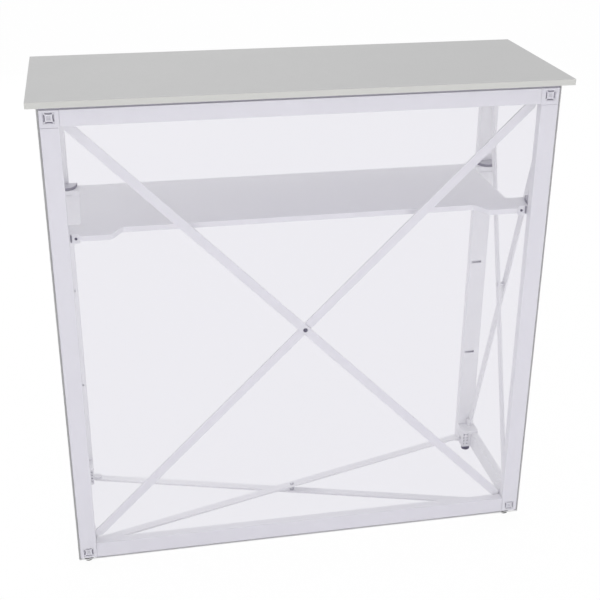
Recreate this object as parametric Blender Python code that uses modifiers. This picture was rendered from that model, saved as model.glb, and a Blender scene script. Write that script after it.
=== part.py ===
"""Free-standing exhibition counter: a braced white frame, a lift-off top, a fixed inner shelf and a
stretched front panel. The front faces -Y, +X is to the viewer's right, and the floor is at Z = 0."""

import math

import bmesh
import bpy
from mathutils import Matrix, Vector

# Fits that every piece shares
gap = 0.0003                    # clearance between two pieces that touch
overrun = 0.002                 # how far a cutter runs past the face that it opens
merge = 0.00005                 # distance under which two vertices are one
rod_sides = 20                  # sides of a small round hole or pin
flat_angle = math.radians(0.5)  # faces within this angle are one

# Frame
frame_width = 1.000
frame_height = 1.003
frame_depth = 0.346
member_face = 0.040             # face of a post or rail, seen from the front
member_depth = 0.020
member_wall = 0.0018
member_edge = 0.0008            # rounding along a post or rail

# Groove for the panel's edge, round the outside of the front frame
groove_lip = 0.0015
groove_lip_top = 0.0056         # the same lip along the frame's top, below the table's edge
groove_width = 0.0037
groove_depth = 0.012

# Corner blocks of the front frame
corner_width = 0.041
corner_height = 0.042
spigot_length = 0.022           # tongue inside a hollow rail or post

# Square plugs that pin the front frame to the hubs
plug_size = 0.0204
plug_inset = 0.0225             # plug's centre from the frame's side
plug_rise_bottom = 0.0194       # plug's centre from the frame's bottom
plug_rise_top = 0.0237          # plug's centre from the frame's top
plug_in_hub = 0.006
plug_slot_length = 0.0115
plug_slot_width = 0.0025
plug_slot_inset = 0.0010        # slot's outer edge from the plug's side
plug_slot_depth = 0.005
plug_socket = 0.0056            # square socket in the middle of the plug
plug_socket_depth = 0.007

# Hubs
hub_size = 0.040
hub_height = 0.045
hub_edge = 0.0012
hub_boss_length = 0.007         # boss that enters the back post
core_size = 0.0042              # moulded pockets in the hub's inner face
core_pitch = 0.0085
core_depth = 0.004
core_rows = 4
core_columns = 2

# Side rails
side_rail_inset = 0.002         # from the frame's side
side_rail_thickness = 0.016
side_rail_height = 0.039

# Cross braces: flat bars in pairs, on a riveted centre pivot
brace_width = 0.0185
brace_thickness = 0.004
front_brace_near = 0.0225       # first bar's face, from the frame's front
front_brace_space = 0.0010      # between the bars of the front pair
front_brace_shift = 0.0036      # falling bar's pins: inward from the sides, outward to top and bottom
side_brace_near = 0.0098        # outer bar's outer face, from the frame's side
side_brace_space = 0.0107
floor_brace_near = 0.0024       # lower bar's underside, from the frame's bottom
floor_brace_space = 0.0110
brace_end_clear = 0.0006        # between a bar's round end and the hub
lug_thickness = 0.0046
lug_width_share = 0.85          # of the bar's width
pin_radius = 0.0025
pin_reach = 0.0010              # past the bar's far face
rivet_head_radius = 0.0046
rivet_head_height = 0.0028
rivet_spacer_radius = 0.0050

# Shelf
shelf_thickness = 0.011
shelf_rise = 0.0264             # shelf's top above the middle of the slot that carries it
shelf_side = 0.062              # straight side, from the frame's side
shelf_front = 0.058             # straight front edge, from the frame's front
shelf_back_clear = 0.0035       # from the back post's face
front_ear_side = 0.004          # ear's end, from the frame's side
front_ear_clear = 0.0035        # from the front post's back
front_ear_end = 0.086           # ear's far edge, from the frame's front
front_ear_length = 0.115        # ear's straight front edge ends here, from the frame's side
front_ear_sweep = 0.030         # length of the S-curve beside the ear
back_ear_side = 0.003
back_ear_depth = 0.030
shelf_corner = 0.006

# Shelf carriers in the posts' slots
slot_width = 0.022
slot_height = 0.0056
slot_inset = 0.013              # slot's outer end, from the frame's side
slot_level_shares = (0.2502, 0.4913, 0.7119)    # of the frame's height, to the slot's middle
hook_reach = 0.004              # hook past the post's wall
carrier_thickness = 0.0029
carrier_side = 0.0135           # carrier's outer end, from the frame's side
clip_end = 0.0588               # front carrier's inner end, from the frame's side
clip_rise = 0.0056              # front carrier's top above the shelf
ledge_thickness = 0.0022
ledge_reach = 0.022
ledge_end = 0.036
jaw_height = 0.0055             # half-round jaws over the ears
front_jaw_radius = 0.0135       # along the shelf
front_jaw_depth = 0.060
front_jaw_centre = 0.0185       # from the frame's side
back_jaw_radius = 0.0228
back_jaw_depth = 0.036
back_jaw_centre_left = 0.0345   # from the frame's left side
back_jaw_centre_right = 0.0240  # from the frame's right side
jaw_steps = 18
back_ledge_end = 0.0455         # ledge under the back ear, from the frame's side
back_plate_end = 0.0625         # tall plate below the ledge, from the frame's side
back_plate_drop = 0.0960        # its lower end, below the shelf's top

# Screws that hold the front ears
screw_radius = 0.0018
screw_length = 0.016
screw_head_radius = 0.0027
screw_head_height = 0.0020
screw_inset = 0.0520            # from the frame's side
screw_rise = 0.0018             # above the middle of the shelf's thickness
screw_drive = 0.0020            # square drive in the head
screw_drive_depth = 0.0012

# Tabletop and its locating dowels
table_thickness = 0.012
table_side_overhang = 0.017
table_front_overhang = 0.0225
table_back_overhang = 0.002
table_edge = 0.0008
dowel_radius = 0.004
dowel_in_table = 0.0075
dowel_in_hub = 0.014
dowel_tip = 0.001

# Levelling feet
foot_reach = 0.0215             # frame's bottom above the floor
foot_radius = 0.0105
foot_height = 0.0135
foot_rounding = 0.0035
foot_inset_x = 0.0210
foot_inset_y = 0.0335
stud_radius = 0.004
stud_length = 0.022             # inside the hub
stud_seat = 0.005               # depth in the rubber pad
collar_radius = 0.0065

# Front panel and its edge strip
panel_thickness = 0.0010
strip_recess = 0.0035           # strip's face, behind the frame's front
strip_depth = 0.0080

# Frame planes that the pieces are measured from
x_side = frame_width / 2
table_depth = table_front_overhang + frame_depth + table_back_overhang
y_front = table_front_overhang - table_depth / 2
y_back = y_front + frame_depth
z_bottom = foot_reach
z_top = z_bottom + frame_height
slot_levels = [frame_height * share for share in slot_level_shares]
shelf_high = z_bottom + slot_levels[-1] + shelf_rise
shelf_low = shelf_high - shelf_thickness
post_back = y_front + member_depth          # back face of the front frame
post_front = y_back - member_depth          # front face of the back frame
cavity_start = groove_lip + groove_width + member_wall
cavity_start_top = groove_lip_top + groove_width + member_wall
plug_rises = {-1: plug_rise_bottom, 1: plug_rise_top}

SIDES = (("left", -1), ("right", 1))


def clear_scene():
    for item in list(bpy.data.objects):
        bpy.data.objects.remove(item, do_unlink=True)


clear_scene()
parts = bpy.data.collections.new("exhibition_counter")
cutters = bpy.data.collections.new("cutters")
bpy.context.scene.collection.children.link(parts)
bpy.context.scene.collection.children.link(cutters)


def material(name, colour, roughness, metallic=0.0, alpha=1.0):
    made = bpy.data.materials.new(name)
    made.use_nodes = True
    shader = made.node_tree.nodes["Principled BSDF"]
    shader.inputs["Base Color"].default_value = (*colour, 1.0)
    shader.inputs["Roughness"].default_value = roughness
    shader.inputs["Metallic"].default_value = metallic
    shader.inputs["Alpha"].default_value = alpha
    return made


WHITE_PAINT = ((0.78, 0.78, 0.79), 0.42)
WHITE_PLASTIC = ((0.76, 0.76, 0.77), 0.5)
GREY_BOARD = ((0.54, 0.54, 0.53), 0.45)
SHELF_BOARD = ((0.70, 0.70, 0.73), 0.4)
STEEL = ((0.62, 0.62, 0.63), 0.3, 1.0)
DARK_STEEL = ((0.08, 0.08, 0.085), 0.4, 1.0)
BLACK_RUBBER = ((0.02, 0.02, 0.02), 0.7)
GREY_PLASTIC = ((0.36, 0.36, 0.38), 0.5)
SHEER_FABRIC = ((0.83, 0.82, 0.90), 0.8, 0.0, 0.4)
STRIP_RUBBER = ((0.10, 0.10, 0.10), 0.6)


def place(item, name, finish, collection=parts):
    """Names an object, gives it its own material and links it to its collection."""
    item.name = name
    if finish is not None:
        item.data.materials.append(material(name + "_finish", *finish))
    collection.objects.link(item)
    return item


def block(name, xs, ys, zs, finish=None, rounding=0.0, collection=parts):
    """A box between two limits on each axis, with its origin at its centre."""
    size = Vector((xs[1] - xs[0], ys[1] - ys[0], zs[1] - zs[0]))
    cage = bmesh.new()
    bmesh.ops.create_cube(cage, size=1.0, matrix=Matrix.Diagonal(size).to_4x4())
    mesh = bpy.data.meshes.new(name)
    cage.to_mesh(mesh)
    cage.free()
    item = bpy.data.objects.new(name, mesh)
    item.location = ((xs[0] + xs[1]) / 2, (ys[0] + ys[1]) / 2, (zs[0] + zs[1]) / 2)
    place(item, name, finish, collection)
    if rounding:
        edge = item.modifiers.new("rounded_edges", "BEVEL")
        edge.width = rounding
        edge.segments = 2
        edge.limit_method = "ANGLE"
    return item


def turned(name, profile, base, axis, finish=None, steps=28, collection=parts):
    """A round piece: its profile of (radius, height) runs from top to bottom about the axis."""
    mesh = bpy.data.meshes.new(name)
    mesh.from_pydata([(r, 0, z) for r, z in profile], [(i, i + 1) for i in range(len(profile) - 1)], [])
    item = bpy.data.objects.new(name, mesh)
    item.matrix_world = Matrix.Translation(base) @ Vector((0, 0, 1)).rotation_difference(
        Vector(axis)).to_matrix().to_4x4()
    place(item, name, finish, collection)
    screw = item.modifiers.new("turned", "SCREW")
    screw.steps = screw.render_steps = steps
    screw.use_merge_vertices = True
    screw.merge_threshold = merge
    screw.use_smooth_shade = False
    return item


def rod(name, radius, base, axis, length, collection=cutters, finish=None):
    """A plain cylinder from its base along its axis."""
    axis = Vector(axis).normalized()
    cage = bmesh.new()
    bmesh.ops.create_cone(cage, cap_ends=True, segments=rod_sides, radius1=radius, radius2=radius,
                          depth=length)
    mesh = bpy.data.meshes.new(name)
    cage.to_mesh(mesh)
    cage.free()
    item = bpy.data.objects.new(name, mesh)
    item.matrix_world = Matrix.Translation(Vector(base) + axis * (length / 2)) @ Vector(
        (0, 0, 1)).rotation_difference(axis).to_matrix().to_4x4()
    return place(item, name, finish, collection)


def boolean(item, tool, operation):
    step = item.modifiers.new(operation.lower() + "_" + tool.name, "BOOLEAN")
    step.operation = operation
    step.solver = "EXACT"
    step.object = tool
    tool.hide_render = True
    tool.display_type = "WIRE"
    return item


def cut(item, tool):
    return boolean(item, tool, "DIFFERENCE")


def join(item, tool):
    return boolean(item, tool, "UNION")


def cut_block(item, name, xs, ys, zs):
    return cut(item, block(name, xs, ys, zs, collection=cutters))


def join_block(item, name, xs, ys, zs):
    return join(item, block(name, xs, ys, zs, collection=cutters))


def outline_plate(name, loops, thickness, frame, finish, collection=parts):
    """A flat plate: closed outlines in its own plane, extruded to both sides of it."""
    curve = bpy.data.curves.new(name, "CURVE")
    curve.dimensions = "2D"
    curve.fill_mode = "BOTH"
    curve.extrude = thickness / 2
    for loop in loops:
        spline = curve.splines.new("POLY")
        spline.points.add(len(loop) - 1)
        for point, (u, v) in zip(spline.points, loop):
            point.co = (u, v, 0, 1)
        spline.use_cyclic_u = True
    guide = bpy.data.objects.new(name + "_outline", curve)
    guide.matrix_world = frame
    bpy.context.scene.collection.objects.link(guide)
    bpy.context.view_layer.update()
    depsgraph = bpy.context.evaluated_depsgraph_get()
    mesh = bpy.data.meshes.new_from_object(guide.evaluated_get(depsgraph))
    bpy.data.objects.remove(guide, do_unlink=True)
    cage = bmesh.new()
    cage.from_mesh(mesh)
    bmesh.ops.remove_doubles(cage, verts=cage.verts, dist=merge)
    bmesh.ops.dissolve_limit(cage, angle_limit=flat_angle, verts=cage.verts, edges=cage.edges)
    cage.to_mesh(mesh)
    cage.free()
    mesh.name = name
    item = bpy.data.objects.new(name, mesh)
    item.matrix_world = frame
    return place(item, name, finish, collection)


def arc(centre, radius, start, end, steps):
    """Points on a circle from one angle to another, in degrees."""
    turns = [math.radians(start + (end - start) * i / steps) for i in range(steps + 1)]
    return [(centre[0] + radius * math.cos(t), centre[1] + radius * math.sin(t)) for t in turns]


def across(side, near, far):
    """X limits of a piece, from its two distances to the frame's side."""
    return (side * x_side - side * far, side * x_side - side * near)[::side]


def deep(end, near, far):
    """Y limits, from distances to the frame's front (end -1) or back (end 1)."""
    plane = y_front if end < 0 else y_back
    return (plane - end * far, plane - end * near)[::end]


def tall(level, near, far):
    """Z limits, from distances to the frame's bottom (level -1) or top (level 1)."""
    plane = z_bottom if level < 0 else z_top
    return (plane - level * far, plane - level * near)[::level]


# The groove that the panel's edge strip is pressed into
def rectangle(inset):
    half_x, low = x_side - inset, inset - frame_height / 2
    high = frame_height / 2 - inset - (groove_lip_top - groove_lip)
    return [(-half_x, low), (half_x, low), (half_x, high), (-half_x, high)]


def front_ring(name, outer, inner, near, far, finish=None, collection=cutters):
    """A rectangular ring round the front frame, between two distances from its front face."""
    upright = Matrix.Translation((0, y_front + (near + far) / 2, z_bottom + frame_height / 2)) @ \
        Matrix.Rotation(math.radians(90), 4, "X")
    return outline_plate(name, [rectangle(outer), rectangle(inner)], far - near, upright, finish,
                         collection)


groove = front_ring("panel_groove", groove_lip, groove_lip + groove_width, -overrun, groove_depth)

# Front posts, with the panel groove, the plug's hole at the foot and the carriers' slots
plug_hole = plug_size / 2 + gap
post_top = z_top - corner_height - gap
cavity_y = (y_front + member_wall, post_back - member_wall)
for name, side in SIDES:
    post = block("front_post_" + name, across(side, 0, member_face), (y_front, post_back),
                 (z_bottom, post_top), WHITE_PAINT, member_edge)
    cut_block(post, "post_cavity_" + name, across(side, cavity_start, member_face - member_wall),
              cavity_y, (z_bottom - overrun, post_top + overrun))
    cut(post, groove)
    cut_block(post, "post_plug_hole_" + name,
              across(side, plug_inset - plug_hole, plug_inset + plug_hole),
              (y_front - overrun, post_back + overrun),
              tall(-1, plug_rise_bottom - plug_hole, plug_rise_bottom + plug_hole))
    for number, level in enumerate(slot_levels):
        cut_block(post, f"front_slot_{name}_{number}",
                  across(side, slot_inset, slot_inset + slot_width),
                  (post_back - member_wall - overrun, post_back + overrun),
                  tall(-1, level - slot_height / 2, level + slot_height / 2))

# Front top rail and bottom rail
rail_cavities = {-1: (cavity_start, member_face - member_wall),
                 1: (cavity_start_top, member_face - member_wall)}
for name, level, end in (("top", 1, corner_width), ("bottom", -1, member_face)):
    half = x_side - end - gap
    rail = block(f"front_{name}_rail", (-half, half), (y_front, post_back),
                 tall(level, 0, member_face), WHITE_PAINT, member_edge)
    cut_block(rail, f"front_{name}_rail_cavity", (-half - overrun, half + overrun), cavity_y,
              tall(level, *rail_cavities[level]))
    cut(rail, groove)

# Corner blocks at the front frame's top, with a tongue in the rail and one in the post
tongue_y = (cavity_y[0] + gap, cavity_y[1] - gap)
for name, side in SIDES:
    corner = block("front_corner_" + name, across(side, 0, corner_width), (y_front, post_back),
                   tall(1, 0, corner_height), WHITE_PLASTIC, member_edge)
    join_block(corner, "corner_rail_tongue_" + name,
               across(side, corner_width / 2, corner_width + spigot_length),
               tongue_y, tall(1, rail_cavities[1][0] + gap, rail_cavities[1][1] - gap))
    join_block(corner, "corner_post_tongue_" + name,
               across(side, cavity_start + gap, member_face - member_wall - gap),
               tongue_y, tall(1, corner_height / 2, corner_height + spigot_length))
    cut(corner, groove)
    cut_block(corner, "corner_plug_hole_" + name,
              across(side, plug_inset - plug_hole, plug_inset + plug_hole),
              (y_front - overrun, post_back + overrun),
              tall(1, plug_rise_top - plug_hole, plug_rise_top + plug_hole))

# Square plugs, each with four slots round a square socket
plug_half = plug_size / 2
for level_name, level in (("bottom", -1), ("top", 1)):
    for name, side in SIDES:
        tag = f"{level_name}_{name}"
        middle_x = side * (x_side - plug_inset)
        middle_z = (z_bottom if level < 0 else z_top) - level * plug_rises[level]
        face = y_front + gap
        plug = block("corner_plug_" + tag, (middle_x - plug_half, middle_x + plug_half),
                     (face, post_back + plug_in_hub), (middle_z - plug_half, middle_z + plug_half),
                     WHITE_PLASTIC)
        cut_block(plug, "plug_socket_" + tag,
                  (middle_x - plug_socket / 2, middle_x + plug_socket / 2),
                  (face - overrun, face + plug_socket_depth),
                  (middle_z - plug_socket / 2, middle_z + plug_socket / 2))
        near = plug_half - plug_slot_inset
        far = near - plug_slot_width
        for number, way in enumerate((-1, 1)):
            edge = sorted((way * near, way * far))
            long = (-plug_slot_length / 2, plug_slot_length / 2)
            depth = (face - overrun, face + plug_slot_depth)
            cut_block(plug, f"plug_upright_slot_{tag}_{number}",
                      (middle_x + edge[0], middle_x + edge[1]), depth,
                      (middle_z + long[0], middle_z + long[1]))
            cut_block(plug, f"plug_flat_slot_{tag}_{number}",
                      (middle_x + long[0], middle_x + long[1]), depth,
                      (middle_z + edge[0], middle_z + edge[1]))

# Back posts and back top rail
for name, side in SIDES:
    post = block("back_post_" + name, across(side, 0, member_face), (post_front, y_back),
                 (z_bottom, z_top), WHITE_PAINT, member_edge)
    cut_block(post, "back_cavity_" + name, across(side, member_wall, member_face - member_wall),
              (post_front + member_wall, y_back - member_wall), (z_bottom - overrun, z_top + overrun))
    for level_name, level in (("bottom", -1), ("top", 1)):
        cut_block(post, f"back_boss_hole_{level_name}_{name}",
                  across(side, plug_inset - plug_hole, plug_inset + plug_hole),
                  (post_front - overrun, post_front + member_wall + overrun),
                  tall(level, plug_rises[level] - plug_hole, plug_rises[level] + plug_hole))
    for number, level in enumerate(slot_levels):
        cut_block(post, f"back_slot_{name}_{number}",
                  across(side, slot_inset, slot_inset + slot_width),
                  (post_front - overrun, post_front + member_wall + overrun),
                  tall(-1, level - slot_height / 2, level + slot_height / 2))

back_half = x_side - member_face - gap
back_rail = block("back_top_rail", (-back_half, back_half), (post_front, y_back),
                  tall(1, 0, member_face), WHITE_PAINT, member_edge)
cut_block(back_rail, "back_rail_cavity", (-back_half - overrun, back_half + overrun),
          (post_front + member_wall, y_back - member_wall),
          tall(1, member_wall, member_face - member_wall))

# Where the bars' end pins stand, as distances from the frame's side, front or back, and bottom or top
bar_half = brace_width / 2
hub_near = member_depth + gap                       # hub's outer face, from the frame's front or back
hub_far = hub_near + hub_size


def beside(square_a, square_b):
    """Where a pin at 45 degrees from a corner keeps a bar's round end clear of that corner."""
    reach = bar_half + brace_end_clear
    least = max(square_a, square_b)
    inner = min(square_a, square_b)
    drop = math.sqrt(max(reach ** 2 - (least - inner) ** 2 / 2, 0)) * math.sqrt(0.5)
    return least + drop - (least - inner) / 2


front_pin = beside(hub_size, hub_height)            # from the side and from the top or bottom
side_pin_z = hub_height + bar_half + brace_end_clear
side_pin_y = post_back - y_front + bar_half + brace_end_clear + gap
floor_pin_x = hub_size + bar_half + brace_end_clear
floor_pin_y = hub_near + hub_size / 2
front_bars = (front_brace_near, front_brace_near + brace_thickness + front_brace_space)
side_bars = (side_brace_near, side_brace_near + brace_thickness + side_brace_space)
floor_bars = (floor_brace_near, floor_brace_near + brace_thickness + floor_brace_space)
lug_half = brace_width * lug_width_share / 2


def pin_and_lug(hub, tag, pin, back_to, axis, bar_low, bar_high, lug_side):
    """Adds a lug beside the bar, from the hub's own middle to the pin, and the pin through the bar."""
    axis = Vector(axis)
    flat = Vector((1, 1, 1)) - Vector([abs(a) for a in axis])
    low, high = (bar_high + gap, bar_high + gap + lug_thickness) if lug_side > 0 else \
        (bar_low - gap - lug_thickness, bar_low - gap)
    middle = (low + high) / 2
    span = Vector([(b - a) * f for a, b, f in zip(pin, back_to, flat)])
    centre = Vector([a * f for a, f in zip(pin, flat)]) + axis * middle
    along = span.normalized()
    turn = Matrix((along, axis.cross(along), axis)).transposed().to_4x4()
    length = span.length
    outline = arc((0, 0), lug_half, 90, 270, 10) + [(length, -lug_half), (length, lug_half)]
    lug = outline_plate("lug_" + tag, [outline], lug_thickness, Matrix.Translation(centre) @ turn,
                        None, cutters)
    join(hub, lug)
    start, stop = (bar_low - pin_reach, middle) if lug_side > 0 else (middle, bar_high + pin_reach)
    base = Vector([a * f for a, f in zip(pin, flat)]) + axis * start
    join(hub, rod("pin_" + tag, pin_radius, base, axis, stop - start))


# Hubs at the eight corners, with spigots for the side rails and a lug for each brace that ends there
rail_in = side_rail_inset + member_wall + gap
rail_out = side_rail_inset + side_rail_thickness - member_wall - gap
for end_name, end in (("front", -1), ("back", 1)):
    for level_name, level in (("bottom", -1), ("top", 1)):
        for name, side in SIDES:
            tag = f"{end_name}_{level_name}_{name}"
            plane_y = y_front if end < 0 else y_back
            plane_z = z_bottom if level < 0 else z_top
            plane_x = side * x_side
            centre = (plane_x - side * hub_size / 2, plane_y - end * (hub_near + hub_size / 2),
                      plane_z - level * hub_height / 2)
            hub = block("hub_" + tag, across(side, 0, hub_size), deep(end, hub_near, hub_far),
                        tall(level, 0, hub_height), WHITE_PLASTIC, hub_edge)
            join_block(hub, "hub_spigot_" + tag, across(side, rail_in, rail_out),
                       deep(end, hub_far - hub_size / 4, hub_far + spigot_length),
                       tall(level, member_wall + gap, side_rail_height - member_wall - gap))
            if end < 0:
                first = side * level < 0             # top left and bottom right carry the first bar
                layer = front_bars[0 if first else 1]
                shift = front_brace_shift if first else 0
                pin = (plane_x - side * (front_pin + shift), 0,
                       plane_z - level * (front_pin - shift))
                pin_and_lug(hub, "front_" + tag, pin, centre, (0, 1, 0), y_front + layer,
                            y_front + layer + brace_thickness, 1)
            else:
                join_block(hub, "hub_boss_" + tag,
                           across(side, plug_inset - plug_half, plug_inset + plug_half),
                           deep(end, member_depth + gap - hub_boss_length, hub_near + hub_size / 4),
                           tall(level, plug_rises[level] - plug_half, plug_rises[level] + plug_half))
            # One side bar runs from the front's top to the back's bottom, the other the other way
            outer = end * level < 0
            layer = side_bars[0 if outer else 1]
            bar = sorted((plane_x - side * layer, plane_x - side * (layer + brace_thickness)))
            inward = -side if outer else side
            pin = (0, plane_y - end * side_pin_y, plane_z - level * side_pin_z)
            pin_and_lug(hub, "side_" + tag, pin, (0, pin[1], centre[2]), (1, 0, 0), *bar, inward)
            if end < 0:
                cut_block(hub, "hub_plug_pocket_" + tag,
                          across(side, plug_inset - plug_hole, plug_inset + plug_hole),
                          deep(end, hub_near - overrun, member_depth + plug_in_hub + gap),
                          tall(level, plug_rises[level] - plug_hole, plug_rises[level] + plug_hole))
            if level < 0:
                lower = side * end < 0               # back left and front right carry the lower bar
                layer = floor_bars[0 if lower else 1]
                pin = (plane_x - side * floor_pin_x, plane_y - end * floor_pin_y, 0)
                pin_and_lug(hub, "floor_" + tag, pin, (centre[0], pin[1], 0), (0, 0, 1),
                            z_bottom + layer, z_bottom + layer + brace_thickness, 1 if lower else -1)
                foot_at = (plane_x - side * foot_inset_x, plane_y - end * foot_inset_y,
                           z_bottom - overrun)
                cut(hub, rod("hub_foot_hole_" + tag, stud_radius + gap, foot_at, (0, 0, 1),
                             stud_length + 2 * overrun))
            else:
                socket_at = (centre[0], centre[1], z_top - dowel_in_hub - gap)
                cut(hub, rod("hub_dowel_hole_" + tag, dowel_radius + gap, socket_at, (0, 0, 1),
                             dowel_in_hub + gap + overrun))
            if end > 0 and level < 0:
                inner = centre[1] - hub_size / 2
                for row in range(core_rows):
                    for column in range(core_columns):
                        offset = hub_size - core_pitch * (column + 0.5)
                        core_x = plane_x - side * offset
                        core_z = centre[2] + core_pitch * (row - (core_rows - 1) / 2)
                        cut_block(hub, f"hub_core_{tag}_{row}_{column}",
                                  (core_x - core_size / 2, core_x + core_size / 2),
                                  (inner - overrun, inner + core_depth),
                                  (core_z - core_size / 2, core_z + core_size / 2))

# Side rails, hollow, on the hubs' spigots
for level_name, level in (("bottom", -1), ("top", 1)):
    for name, side in SIDES:
        ends = (y_front + hub_far + gap, y_back - hub_far - gap)
        rail = block(f"side_{level_name}_rail_{name}",
                     across(side, side_rail_inset, side_rail_inset + side_rail_thickness), ends,
                     tall(level, 0, side_rail_height), WHITE_PAINT, member_edge)
        cut_block(rail, f"side_rail_cavity_{level_name}_{name}",
                  across(side, side_rail_inset + member_wall,
                         side_rail_inset + side_rail_thickness - member_wall),
                  (ends[0] - overrun, ends[1] + overrun),
                  tall(level, member_wall, side_rail_height - member_wall))


# Brace bars and their centre rivets
def brace(name, start, end, normal):
    """A flat bar with round ends and three holes: one on each end pin, one on the centre rivet."""
    start, end, normal = Vector(start), Vector(end), Vector(normal)
    along = (end - start).normalized()
    frame = Matrix.Translation((start + end) / 2) @ Matrix(
        (along, normal.cross(along), normal)).transposed().to_4x4()
    half = (end - start).length / 2
    outline = arc((half, 0), bar_half, -90, 90, 12) + arc((-half, 0), bar_half, 90, 270, 12)
    holes = [arc((place_x, 0), pin_radius + gap, 0, 360, 20)[:-1] for place_x in (-half, 0, half)]
    return outline_plate(name, [outline] + holes, brace_thickness, frame, WHITE_PAINT)


def rivet(name, base, axis, space, finish=STEEL):
    """A shouldered rivet: head, shank, spacer between the bars, shank and head."""
    first = rivet_head_height
    spacer_low = first + brace_thickness + 2 * gap
    spacer_high = spacer_low + space - 2 * gap
    last = spacer_high + brace_thickness + 2 * gap
    profile = [(0, last + rivet_head_height), (rivet_head_radius, last + rivet_head_height),
               (rivet_head_radius, last), (pin_radius, last), (pin_radius, spacer_high),
               (rivet_spacer_radius, spacer_high), (rivet_spacer_radius, spacer_low),
               (pin_radius, spacer_low), (pin_radius, first), (rivet_head_radius, first),
               (rivet_head_radius, 0), (0, 0)]
    turned(name, profile, base, axis, finish)


mid_z = z_bottom + frame_height / 2
mid_y = y_front + frame_depth / 2
half_bar = brace_thickness / 2
near_y, far_y = (y_front + layer + half_bar for layer in front_bars)
reach_x, high_z, low_z = x_side - front_pin, z_top - front_pin, z_bottom + front_pin
brace("front_brace_falling", (front_brace_shift - reach_x, near_y, high_z + front_brace_shift),
      (reach_x - front_brace_shift, near_y, low_z - front_brace_shift), (0, 1, 0))
brace("front_brace_rising", (-reach_x, far_y, low_z), (reach_x, far_y, high_z), (0, 1, 0))
rivet("front_brace_rivet", (0, near_y - half_bar - gap - rivet_head_height, mid_z), (0, 1, 0),
      front_brace_space, DARK_STEEL)

for name, side in SIDES:
    outer_x, inner_x = (side * (x_side - layer - half_bar) for layer in side_bars)
    front_y, rear_y = y_front + side_pin_y, y_back - side_pin_y
    high_z, low_z = z_top - side_pin_z, z_bottom + side_pin_z
    brace(f"{name}_brace_outer", (outer_x, front_y, high_z), (outer_x, rear_y, low_z), (1, 0, 0))
    brace(f"{name}_brace_inner", (inner_x, front_y, low_z), (inner_x, rear_y, high_z), (1, 0, 0))
    rivet(f"{name}_brace_rivet",
          (outer_x + side * (half_bar + gap + rivet_head_height), mid_y, mid_z), (-side, 0, 0),
          side_brace_space)

low_layer, high_layer = (z_bottom + layer + half_bar for layer in floor_bars)
reach_x = x_side - floor_pin_x
front_y, rear_y = y_front + floor_pin_y, y_back - floor_pin_y
brace("floor_brace_lower", (-reach_x, rear_y, low_layer), (reach_x, front_y, low_layer), (0, 0, 1))
brace("floor_brace_upper", (-reach_x, front_y, high_layer), (reach_x, rear_y, high_layer), (0, 0, 1))
rivet("floor_brace_rivet", (0, mid_y, low_layer - half_bar - gap - rivet_head_height), (0, 0, 1),
      floor_brace_space)

# Shelf: one board with an ear at each corner, cut back between them to clear the braces
shelf_back = post_front - shelf_back_clear
ear_front = post_back + front_ear_clear
ear_back = y_front + front_ear_end
main_front = y_front + shelf_front
corner_steps = 6
right = x_side - shelf_side
sweep_steps = 10
sweep = [(front_ear_length + front_ear_sweep * i / sweep_steps,
          ear_front + (main_front - ear_front) * (1 - math.cos(math.pi * i / sweep_steps)) / 2)
         for i in range(sweep_steps + 1)]
ear_tip = x_side - front_ear_side
back_tip = x_side - back_ear_side
right_half = [(x_side - d, y) for d, y in reversed(sweep)]
right_half += arc((ear_tip - shelf_corner, ear_front + shelf_corner), shelf_corner, -90, 0, corner_steps)
right_half += arc((ear_tip - shelf_corner, ear_back - shelf_corner), shelf_corner, 0, 90, corner_steps)
right_half += arc((right + shelf_corner, ear_back + shelf_corner), shelf_corner, 270, 180, corner_steps)
right_half += arc((right + shelf_corner, shelf_back - back_ear_depth - shelf_corner), shelf_corner,
                  180, 90, corner_steps)
right_half += arc((back_tip - shelf_corner, shelf_back - back_ear_depth + shelf_corner), shelf_corner,
                  -90, 0, corner_steps)
right_half += [(back_tip, shelf_back), (-overrun, shelf_back), (-overrun, main_front)]
shelf = outline_plate("shelf", [right_half], shelf_thickness,
                      Matrix.Translation((0, 0, shelf_high - shelf_thickness / 2)), SHELF_BOARD)
mirror = shelf.modifiers.new("both_halves", "MIRROR")
mirror.use_axis[0] = mirror.use_bisect_axis[0] = True
mirror.merge_threshold = merge
screw_z = shelf_high - shelf_thickness / 2 + screw_rise


def half_round(centre, radius, depth, plane):
    """Outline of a jaw: half an ellipse that stands off a plane of constant Y, to either side of it."""
    angles = [math.pi * i / jaw_steps for i in range(jaw_steps + 1)]
    return [(centre + radius * math.cos(t), plane + depth * math.sin(t)) for t in angles]


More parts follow.
